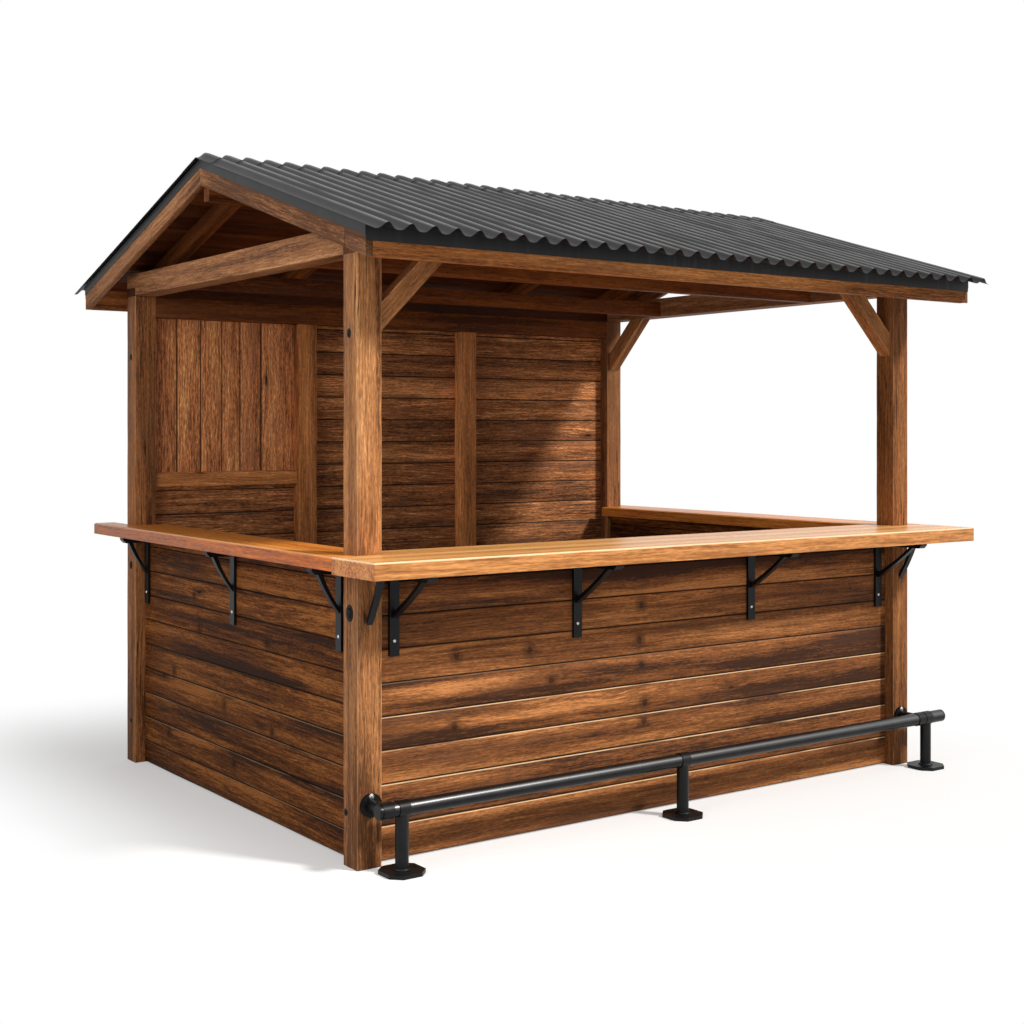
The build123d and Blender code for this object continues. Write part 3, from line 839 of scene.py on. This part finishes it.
class StallTimber(bpy.types.PropertyGroup):
    """Boards and timbers: their number, edges and stain."""

    front_foot: length_property("Front foot board", "Top of the lowest board in the front panel", 0.128)
    front_joint: length_property("Front joint", "Height of the second joint in the front panel", 0.276)
    front_board: length_property("Front board", "Height of a board in the front panel", 0.120)
    side_joint: length_property("Side joint", "Height of the lowest joint in a side panel", 0.102)
    side_board: length_property("Side board", "Height of a board in a side panel", 0.1125)
    wall_boards: count_property("Wall boards", "Boards from floor to plate in the back wall", 19)
    roof_boards: count_property("Roof boards", "Boards on each slope below the metal", 11)
    board_ease: length_property("Board edge", "Rounding of a board's long edges", 0.004)
    frame_ease: length_property("Timber edge", "Rounding of a post's or beam's long edges", 0.004)
    board_pale: colour_property("Board, pale", "Palest streaks of the wall boards", (0.60, 0.240, 0.078))
    board_middle: colour_property("Board, middle", "Most of the wall boards", (0.235, 0.083, 0.026))
    board_dark: colour_property("Board, dark", "Darkest streaks of the wall boards", (0.055, 0.021, 0.0095))
    frame_pale: colour_property("Frame, pale", "Palest streaks of posts and beams", (0.74, 0.360, 0.145))
    frame_middle: colour_property("Frame, middle", "Most of the posts and beams", (0.43, 0.180, 0.064))
    frame_dark: colour_property("Frame, dark", "Darkest streaks of posts and beams", (0.14, 0.053, 0.019))
    counter_pale: colour_property("Counter, pale", "Palest streaks of the counters", (1.0, 0.61, 0.255))
    counter_middle: colour_property("Counter, middle", "Most of the counters", (0.90, 0.43, 0.135))
    counter_dark: colour_property("Counter, dark", "Darkest streaks of the counters", (0.60, 0.245, 0.062))
    counter_strip: length_property("Counter strip", "Width of a glued strip in the counters", 0.074)


class StallRoof(bpy.types.PropertyGroup):
    """Corrugated roof metal."""

    corrugations: count_property("Corrugations", "Waves across each roof sheet", 35)
    wave_height: length_property("Wave height", "From trough to crest of a corrugation", 0.025)
    sheet_thickness: length_property("Sheet thickness", "Thickness of the roof metal", 0.0015)
    cap_wing: length_property("Ridge cap wing", "How far the ridge cap comes down each slope", 0.140)
    colour: colour_property("Roof colour", "Charcoal coating of sheets and trims", (0.0215, 0.0211, 0.0217))
    roughness: share_property("Roof roughness", "Roughness of the coating", 0.5)


class StallIron(bpy.types.PropertyGroup):
    """Black ironwork and its fixings."""

    colour: colour_property("Iron colour", "Black paint of brackets and foot rail", (0.0040, 0.0042, 0.0046))
    roughness: share_property("Iron roughness", "Roughness of the rail's paint", 0.31)
    screw_radius: length_property("Screw head", "Radius of a bracket screw's head", 0.007)


class StallStudio(bpy.types.PropertyGroup):
    """Camera, light and floor."""

    camera_place: bpy.props.FloatVectorProperty(
        name="Camera place",
        description="Where the camera stands",
        default=(-4.0058, -5.5874, 1.5347),
        subtype="XYZ",
    )
    camera_turn: number_property(
        "Camera turn", "Turn of the level camera from the back wall's normal", 0.6198, subtype="ANGLE"
    )
    camera_lens: number_property("Focal length", "Millimetres, on a 36 mm sensor", 51.977, min=1.0)
    camera_shift: number_property("Vertical shift", "Shift that brings the level view's frame down", -0.0792)
    sun_strength: number_property("Sun strength", "Strength of the key light", 3.25, min=0.0)
    sun_spread: number_property("Sun spread", "Angle that it fills", math.radians(8), subtype="ANGLE")
    sky_strength: number_property("Sky strength", "Strength of the even light from all round", 0.35, min=0.0)
    side_fill_power: number_property("Side fill", "Watts of the soft lamp at the left", 76.0, min=0.0)
    front_fill_power: number_property("Front fill", "Watts of the soft lamp at the front", 32.0, min=0.0)
    shade_reach: length_property("Shade reach", "How far from the stall's foot its shade fades out", 0.95)
    floor_glow: share_property("Floor glow", "Share of the floor beside the stall that is plain white", 0.27)


# Pieces


def shaded(tones, level):
    """Tones made lighter or darker together, by one number or one for each of red, green and blue."""
    return [tuple(np.minimum(1.0, np.multiply(level, tone)).tolist()) for tone in tones]


def board_stain(settings, name, level=1.0, **options):
    tones = shaded((settings.board_pale, settings.board_middle, settings.board_dark), level)
    return stained_timber(name, grain_of_boards, tones, **options)


def frame_stain(settings, name, read=grain_of_boards, level=1.0, **options):
    tones = shaded((settings.frame_pale, settings.frame_middle, settings.frame_dark), level)
    return stained_timber(name, read, tones, **options)


def dress(finish, *nodes):
    """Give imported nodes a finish."""
    for node in nodes:
        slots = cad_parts[node].data.materials
        slots.clear()
        slots.append(finish)


class STALL_OT_wall_boards(bpy.types.Operator):
    """Lay the boards of the panels below the counters and of the back wall"""

    bl_idname = "stall.wall_boards"
    bl_label = "Wall Boards"

    def execute(self, context):
        timber = context.scene.stall_timber
        ease = timber.board_ease
        # The front's runs include painted shade under the counter and painted light below it
        wear = (0, FRONT_RUNS, FRONT_SCARS)
        front = board_stain(timber, "stained_front_board", level=FRONT_LEVEL, wear=wear, lip=FRONT_LIP)
        side = board_stain(
            timber,
            "stained_side_board",
            level=SIDE_LEVEL,
            weights=(2.1, 1.3, 1.3, 1.1),
            wear=(1, SIDE_RUNS, SIDE_SCARS),
            lip=SIDE_LIP,
            gloss=0.04,
        )
        count = np.arange(MOST_JOINTS)
        front_joints = np.append(timber.front_foot, timber.front_joint + timber.front_board * count)
        side_joints = timber.side_joint + timber.side_board * count
        sides = (
            ("front_panel", X_AXIS, -Y_AXIS, front, front_joints),
            ("left_panel", -Y_AXIS, -X_AXIS, side, side_joints),
            ("right_panel", Y_AXIS, X_AXIS, side, side_joints),
        )
        for seed, (node, along, face, stain, joints) in enumerate(sides, start=20):
            boxes = stack(node_box(node), 2, joints)
            rings, grain = sawn_boxes(boxes, along, face, ease, seed, bow=BOARD_BOW)
            skin(node + "_boards", rings, stain, (node,), grain)

        wall = node_box("back_wall")
        upright = node_box("upright_panel")
        rows = stack(wall, 2, np.linspace(wall[0][2], wall[1][2], timber.wall_boards + 1)[1:-1])
        beside = rows[:, 1, 2] > upright[0][2] + 1e-6
        cut = rows[beside & (rows[:, 0, 2] < upright[0][2])].copy()
        rows[beside, 0, 0] = upright[1][0]
        cut[:, 1, 2] = upright[0][2]
        cut[:, 1, 0] = upright[1][0]
        boxes = np.concatenate([rows, cut])
        rings, grain = sawn_boxes(boxes, X_AXIS, -Y_AXIS, ease, seed=31, bow=BOARD_BOW)
        rear = board_stain(
            timber,
            "stained_rear_board",
            level=REAR_LEVEL,
            weights=(1.0, 0.8, 1.3, 1.1),
            lip=REAR_LIP,
            gloss=0.08,
        )
        skin("back_wall_boards", rings, rear, ("back_wall",), grain)
        boxes = stack(upright, 0, UPRIGHT_JOINTS)
        rings, grain = sawn_boxes(boxes, Z_AXIS, -Y_AXIS, ease * 0.7, seed=37, bow=BOARD_BOW)
        fine = board_stain(
            timber,
            "stained_upright_board",
            level=UPRIGHT_LEVEL,
            weights=(0.5, 0.5, 1.2, 1.2),
            knots=0.25,
            lip=UPRIGHT_LIP,
        )
        skin("upright_panel_boards", rings, fine, ("upright_panel",), grain)
        return {"FINISHED"}


class STALL_OT_frame(bpy.types.Operator):
    """Dress the posts, rails, beams, rafters and braces"""

    bl_idname = "stall.frame"
    bl_label = "Timber Frame"

    def execute(self, context):
        timber = context.scene.stall_timber
        ease = timber.frame_ease
        stud_stain = frame_stain(timber, "stained_stud", level=STUD_LEVEL, knots=0.1, checks=1.0)
        # The posts' runs paint shade at the foot of the left posts, and their pale arris is partly a painted
        # highlight
        post_options = {"knots": 0.1, "checks": 1.0, "wear": (0, POST_RUNS, ()), "arris": 0.25}
        for seed, (node, level) in enumerate(POST_LEVELS.items(), start=50):
            stain = frame_stain(timber, "stained_" + node, level=level, **post_options)
            rings, grain = sawn_boxes(node_box(node), Z_AXIS, -Y_AXIS, ease, seed, stations=TIMBER_STATIONS)
            skin(node + "_timber", rings, stain, (node,), grain)
        low, high = node_box("rear_studs")
        studs = [
            [low, [low[0] + STUD_WIDTH, high[1], high[2]]],
            [[high[0] - STUD_WIDTH, low[1], low[2]], high],
        ]
        rings, grain = sawn_boxes(studs, Z_AXIS, -Y_AXIS, ease, seed=61, stations=TIMBER_STATIONS)
        skin("rear_stud_timbers", rings, stud_stain, ("rear_studs",), grain)
        # Painted shade: the top rail and ceiling joists are darkened for the shade under the roof
        top_rail_stain_and_shade = frame_stain(timber, "painted_shade_top_rail", level=CEILING_LEVEL, checks=0.5)
        joist_stain_and_shade = frame_stain(timber, "painted_shade_ceiling_joist", level=JOIST_LEVEL, checks=0.5)
        rails = (
            ("rear_top_rail", top_rail_stain_and_shade),
            ("sill_rail", stud_stain),
            ("ceiling_joist_front", joist_stain_and_shade),
            ("ceiling_joist_rear", joist_stain_and_shade),
        )
        for seed, (node, stain) in enumerate(rails, start=64):
            rings, grain = sawn_boxes(node_box(node), X_AXIS, -Y_AXIS, ease, seed, stations=TIMBER_STATIONS)
            skin(node + "_timber", rings, stain, (node,), grain)

        lengthwise = grain_towards(X_AXIS, Z_AXIS)
        crosswise = grain_towards(Y_AXIS, Z_AXIS)
        front_slope, rear_slope = (grain_towards(-slope_axes(front)[0], X_AXIS) for _, front in SLOPES)
        front_brace = grain_towards([-BRACE_RUN, 0, BRACE_RISE], Y_AXIS, mirrored=True)
        rear_brace = grain_towards([0, -BRACE_RUN, BRACE_RISE], X_AXIS)
        beams = (
            ("stained_fascia", lengthwise, FASCIA_LEVEL, ("front_fascia", "rear_fascia")),
            # Painted shade: the front wall plate, ridge beam, rear wall plate and rafters are darkened for
            # the shade under the roof
            ("painted_shade_beam_lengthwise", lengthwise, CEILING_LEVEL, ("wall_plate_front", "ridge_beam")),
            ("painted_shade_rear_plate", lengthwise, REAR_PLATE_LEVEL, ("wall_plate_rear",)),
            ("stained_beam_crosswise", crosswise, GABLE_LEVEL, ("tie_beam_left", "tie_beam_right")),
            ("painted_shade_front_rafter", front_slope, CEILING_LEVEL, ("front_rafters",)),
            ("painted_shade_rear_rafter", rear_slope, CEILING_LEVEL, ("rear_rafters",)),
            ("stained_brace", front_brace, 1.0, ("front_knee_braces",)),
            ("stained_rear_brace", rear_brace, 1.0, ("rear_knee_brace",)),
        )
        for name, read, level, nodes in beams:
            dress(frame_stain(timber, name, read, level=level), *nodes)
        return {"FINISHED"}


class STALL_OT_counters(bpy.types.Operator):
    """Oil the counters"""

    bl_idname = "stall.counters"
    bl_label = "Counters"

    def execute(self, context):
        timber = context.scene.stall_timber
        tones = [tuple(t) for t in (timber.counter_pale, timber.counter_middle, timber.counter_dark)]
        strip = timber.counter_strip
        low, high = node_box("counter_front")
        rim = (high[0], low[1], high[2])
        dress(oiled_counter("oiled_front_counter", 0, tones, strip, rim), "counter_front")
        # Painted light and shade: the side counters take darker, warmer tones, a dimmer pale edge and painted
        # shade over their rear
        shade_tinted_tones = [tuple(share * c for share, c in zip(SIDE_COUNTER_LEVEL, tone)) for tone in tones]
        rim = (high[0], None, high[2])
        side = oiled_counter("oiled_side_counter", 1, shade_tinted_tones, strip, rim, rubbed=0.2, gloss=0.2, rear_shade=0.26)
        dress(side, "counter_left", "counter_right")
        return {"FINISHED"}


class STALL_OT_roof_timber(bpy.types.Operator):
    """Lay the roof boards and the barge boards"""

    bl_idname = "stall.roof_timber"
    bl_label = "Roof Timber"

    def roof_boards(self, timber):
        """Level boards side by side down each slope."""
        # Painted shade: the roof boards are darkened for the shade under the roof
        stain = frame_stain(timber, "painted_shade_roof_board", level=ROOF_BOARD_LEVEL)
        thick = ROOF_BOARD_THICKNESS
        for seed, (end, front) in enumerate(SLOPES, start=81):
            node = end + "_roof_boards"
            low, high = node_box(node)
            down, up = slope_axes(front)
            run = max(abs(low[1]), abs(high[1])) / math.cos(PITCH)
            count = timber.roof_boards
            middle = (np.arange(count) + 0.5) * run / count
            start = np.array([low[0], 0, high[2]]) + middle[:, None] * down - up * thick / 2
            length = high[0] - low[0]
            rings, grain = sawn(start, X_AXIS, up, length, run / count, thick, ROOF_BOARD_EASE, seed)
            skin(node + "_laid", rings, stain, (node,), grain)

    def barge_boards(self, timber):
        """Two boards down each slope of a gable, end to end, their ends cut plumb."""
        options = {"level": GABLE_LEVEL, "knots": 0.08, "checks": 0.5, "wear": (1, BARGE_RUNS, ())}
        stain = frame_stain(timber, "stained_barge_board", **options)
        for seed, (end, hand) in enumerate(HANDS):
            node = end + "_barge_boards"
            low, high = node_box(node)
            thick = high[0] - low[0]
            plumb = high[2] - low[2] - math.tan(PITCH) * high[1]
            deep = plumb * math.cos(PITCH)
            middle = np.array([(low[0] + high[0]) / 2, 0, high[2] - plumb / 2])
            run = high[1] / math.cos(PITCH)
            joint = run - BARGE_TAIL
            first = (0.0, joint + BARGE_HALF_GAP)
            length = np.subtract((joint - BARGE_HALF_GAP, run), first)
            face = np.array([hand, 0, 0])
            rings, grains = [], []
            for k, (_, front) in enumerate(SLOPES):
                down, _ = slope_axes(front)
                lean = -np.cross(face, down)[1] / down[1]
                start = middle + np.outer(first, down)
                ring, grain = sawn(
                    start, down, face, length, deep, thick, BARGE_EASE, 90 + 4 * seed + k, leans=(lean, lean)
                )
                rings.append(ring)
                grains.append(grain)
            grain = {key: np.concatenate([g[key] for g in grains]) for key in grains[0]}
            skin(node + "_sawn", np.concatenate(rings), stain, (node,), grain)

    def execute(self, context):
        timber = context.scene.stall_timber
        self.roof_boards(timber)
        self.barge_boards(timber)
        return {"FINISHED"}


class STALL_OT_roof_metal(bpy.types.Operator):
    """Roll the corrugated sheets and the ridge cap, and coat all roof metal"""

    bl_idname = "stall.roof_metal"
    bl_label = "Roof Metal"

    def waves(self, roof, node):
        """Stations along X over a node's waves, and the waves' pitch."""
        low, high = node_box(node)
        x = np.linspace(low[0], high[0], roof.corrugations * FACETS_PER_WAVE + 1)
        return x, (high[0] - low[0]) / roof.corrugations

    def execute(self, context):
        roof = context.scene.stall_roof
        coating = tuple(roof.colour), roof.roughness
        coat = painted_sheet("charcoal_trim_coat", *coating)
        x, pitch = self.waves(roof, "front_roof_sheet")
        cap_edge = roof.cap_wing * math.cos(PITCH)
        waved = painted_sheet("charcoal_sheet_coat", *coating, (float(x[0]), pitch, cap_edge))
        ridge = np.array([0, 0, node_box("front_roof_boards")[1][2]])
        for end, front in SLOPES:
            node = end + "_roof_sheet"
            x, pitch = self.waves(roof, node)
            low, high = node_box(node)
            eave = max(abs(low[1]), abs(high[1]))
            crest = SHEET_RISE + roof.wave_height + roof.sheet_thickness
            end_reach = (eave - crest * math.sin(PITCH)) / math.cos(PITCH)
            reach = np.linspace(SHEET_RIDGE_GAP, end_reach, SHEET_STATIONS)
            shape = wave_sheet(x, reach, SHEET_RISE, roof.wave_height, pitch, roof.sheet_thickness, front)
            skin(node + "_rolled", (shape + ridge)[None], waved, (node,), crease=40.0)
        x, pitch = self.waves(roof, "ridge_cap")
        reach = np.linspace(0.0, roof.cap_wing, CAP_STATIONS)
        halves = [
            wave_sheet(x, reach, CAP_RISE, roof.wave_height, pitch, roof.sheet_thickness, front)
            for _, front in SLOPES
        ]
        fold = len(reach)
        upper = np.concatenate([halves[0][:, fold - 1 : 0 : -1], halves[1][:, :fold]], axis=1)
        lower = np.concatenate([halves[1][:, fold : 2 * fold - 1], halves[0][:, fold:][:, ::-1]], axis=1)
        upper[:, fold - 1, 1] = 0.0
        lower[:, fold - 1, 1] = 0.0
        shape = np.concatenate([upper, lower], axis=1)
        capped = painted_sheet("charcoal_cap_coat", *coating, (float(x[0]), pitch, None))
        skin("ridge_cap_rolled", (shape + ridge)[None], capped, ("ridge_cap",), crease=40.0)
        dress(coat, "left_verge_trim", "right_verge_trim", "front_eave_trim", "rear_eave_trim")
        return {"FINISHED"}


class STALL_OT_ironwork(bpy.types.Operator):
    """Paint the brackets and the foot rail, and add screws, bolts and weld beads"""

    bl_idname = "stall.ironwork"
    bl_label = "Ironwork"

    def execute(self, context):
        iron = context.scene.stall_iron
        forged = black_iron("black_bracket_paint", tuple(0.7 * c for c in iron.colour), 0.42, gloss=0.2)
        dress(forged, "front_brackets", "left_brackets", "right_brackets", "rail_stanchions", "rail_flanges")
        rail = node_box("foot_rail")
        paint = black_iron("black_rail_paint", tuple(iron.colour), iron.roughness, gloss=0.18, rail=rail)
        dress(paint, "foot_rail")

        zinc = bright_steel("zinc_screw")
        r = iron.screw_radius
        dome = [(r, -0.001), (r, 0.0), (0.86 * r, 0.2 * r), (0.5 * r, 0.40 * r), (0.001, 0.46 * r)]
        hands = [hand for _, hand in HANDS]
        front = [[x, FRONT_STRAP_FACE, FRONT_SCREW_HEIGHT] for x in FRONT_STRAPS]
        sides = [[hand * SIDE_STRAP_FACE, y, SIDE_SCREW_HEIGHT] for hand in hands for y in SIDE_STRAPS]
        axes = [-Y_AXIS] * len(front) + [X_AXIS * np.sign(p[0]) for p in sides]
        rings = turned(dome, front + sides, axes, sides=16)
        skin("bracket_screws", rings, zinc, crease=50.0)

        centres = [[hand * POST_FACE, y, z] for hand in hands for y, z, _ in POST_BOLTS]
        axes = [X_AXIS * np.sign(c[0]) for c in centres]
        sizes = [size for _, _, size in POST_BOLTS * 2]
        rings = turned(BOLT_SHARES, centres, axes, sides=24, sizes=sizes, stretch=BOLT_STRETCH)
        dull = black_iron("blackened_bolt", tuple(0.6 * c for c in iron.colour), 0.5, gloss=0.15)
        skin("post_bolts", rings, dull, crease=50.0)

        x, y, z = FLANGE_SCREW_PLACE
        knobs = [[hand * x, y, z] for hand in hands]
        rings = turned(BOLT_SHARES, knobs, -Y_AXIS, sides=20, sizes=FLANGE_SCREW_RADIUS)
        skin("flange_screws", rings, zinc, crease=50.0)
        feet = [[x, STANCHION_LINE, WELD_HEIGHT] for x in STANCHIONS]
        rings = turned(WELD_BEAD, feet, Z_AXIS, sides=28)
        skin("stanchion_welds", rings, forged, crease=60.0)
        return {"FINISHED"}


class STALL_OT_studio(bpy.types.Operator):
    """Set up the floor, the light and the camera"""

    bl_idname = "stall.studio"
    bl_label = "Studio"

    def shown(self, shader):
        """1 for rays that come from the camera, a mirror or glass, so that they meet the white background."""
        path = shader.node("ShaderNodeLightPath").socket.node
        kinds = ("Camera", "Glossy", "Transmission")
        camera, glossy, through = (Field(shader, path.outputs[f"Is {kind} Ray"]) for kind in kinds)
        return (camera + glossy + through).ramp(0.0, 1.0)

    def floor_finish(self, studio):
        """Grey to the light, white to the eye, and shaded near the stall's foot."""
        shader = material("pale_studio_floor")
        seen = self.shown(shader)
        half_width, half_depth = (float(v) for v in node_box("post_rear_right")[1][:2])
        grey = shader.mix(seen, FLOOR_GREY, WHITE)
        diffuse = shader.node("ShaderNodeBsdfDiffuse", {}, {"Color": grey})
        white = shader.node("ShaderNodeEmission", {}, {"Color": (*WHITE, 1.0), "Strength": 1.0})
        x, y, _ = shader.place()
        beside = abs(abs(x) - half_width) + abs(x) - half_width
        behind = abs(abs(y) - half_depth) + abs(y) - half_depth
        away = (beside * beside * 0.25 + behind * behind * 0.07) ** 0.5 / studio.shade_reach
        glow = studio.floor_glow + (1.0 - studio.floor_glow) * away.ramp(0.0, 1.0)
        blend = shader.node("ShaderNodeMixShader", {}, {0: seen * glow, 1: diffuse, 2: white})
        shader.node("ShaderNodeOutputMaterial", {}, {"Surface": blend})
        return shader.owner

    def light(self, scene, studio):
        """The even sky, two soft lamps and the sun."""
        scene.world = bpy.data.worlds.new("studio_world")
        shader = Shader(scene.world)
        even = studio.sky_strength + self.shown(shader) * (1.0 - studio.sky_strength)
        back = shader.node("ShaderNodeBackground", {}, {"Color": (*WHITE, 1.0), "Strength": even})
        shader.node("ShaderNodeOutputWorld", {}, {"Surface": back})
        fills = (
            ("side_fill", studio.side_fill_power, SIDE_FILL_PLACE, SIDE_FILL_AIM),
            ("front_fill", studio.front_fill_power, FRONT_FILL_PLACE, FRONT_FILL_AIM),
        )
        for name, power, place, aim in fills:
            fill = bpy.data.lights.new(name, "AREA")
            fill.energy = power
            fill.size = FILL_SIZE
            lamp = placed(name, fill, place)
            lamp.rotation_euler = (Vector(aim) - Vector(place)).to_track_quat("-Z", "Y").to_euler()
            lamp.visible_camera = False
        sun = bpy.data.lights.new("key_sun", "SUN")
        sun.energy = studio.sun_strength
        sun.angle = studio.sun_spread
        sun.color = SUN_COLOUR
        lamp = placed("key_sun", sun, SUN_PLACE)
        lamp.rotation_euler = Vector(SUN_DIRECTION).to_track_quat("-Z", "Y").to_euler()

    def execute(self, context):
        scene = context.scene
        studio = scene.stall_studio
        scene.view_settings.view_transform = "Standard"

        side = FLOOR_REACH
        corners = [(-side, -side, 0), (side, -side, 0), (side, side, 0), (-side, side, 0)]
        mesh = bpy.data.meshes.new("studio_floor")
        mesh.from_pydata(corners, [], [(0, 1, 2, 3)])
        mesh.materials.append(self.floor_finish(studio))
        floor = placed("studio_floor", mesh)
        self.light(scene, studio)

        lens = bpy.data.cameras.new("stall_camera")
        lens.sensor_width = 36.0
        lens.lens = studio.camera_lens
        lens.shift_y = studio.camera_shift
        scene.camera = placed("stall_camera", lens, studio.camera_place)
        scene.camera.rotation_euler = (math.pi / 2, 0.0, -studio.camera_turn)
        return {"FINISHED"}


class STALL_PT_sidebar(bpy.types.Panel):
    """Lists the stall's settings and steps"""

    bl_idname = "STALL_PT_sidebar"
    bl_label = "Timber Bar Stall"
    bl_space_type = "VIEW_3D"
    bl_region_type = "UI"
    bl_category = "Stall"

    def draw(self, context):
        for step in STEPS:
            self.layout.operator(step.bl_idname)
        for group in GROUPS:
            settings = getattr(context.scene, group)
            box = self.layout.box()
            for key in settings.bl_rna.properties.keys():
                if key not in {"rna_type", "name"}:
                    box.prop(settings, key)


GROUPS = {
    "stall_timber": StallTimber,
    "stall_roof": StallRoof,
    "stall_iron": StallIron,
    "stall_studio": StallStudio,
}
STEPS = (
    STALL_OT_wall_boards,
    STALL_OT_frame,
    STALL_OT_counters,
    STALL_OT_roof_timber,
    STALL_OT_roof_metal,
    STALL_OT_ironwork,
    STALL_OT_studio,
)


def register():
    for group, kind in GROUPS.items():
        bpy.utils.register_class(kind)
        setattr(bpy.types.Scene, group, bpy.props.PointerProperty(type=kind))
    for kind in STEPS + (STALL_PT_sidebar,):
        bpy.utils.register_class(kind)


def unregister():
    for kind in (STALL_PT_sidebar,) + STEPS[::-1]:
        bpy.utils.unregister_class(kind)
    for group, kind in GROUPS.items():
        delattr(bpy.types.Scene, group)
        bpy.utils.unregister_class(kind)


def main():
    register()
    bpy.ops.stall.wall_boards()
    bpy.ops.stall.frame()
    bpy.ops.stall.counters()
    bpy.ops.stall.roof_timber()
    bpy.ops.stall.roof_metal()
    bpy.ops.stall.ironwork()
    bpy.ops.stall.studio()


if __name__ == "__main__":
    main()
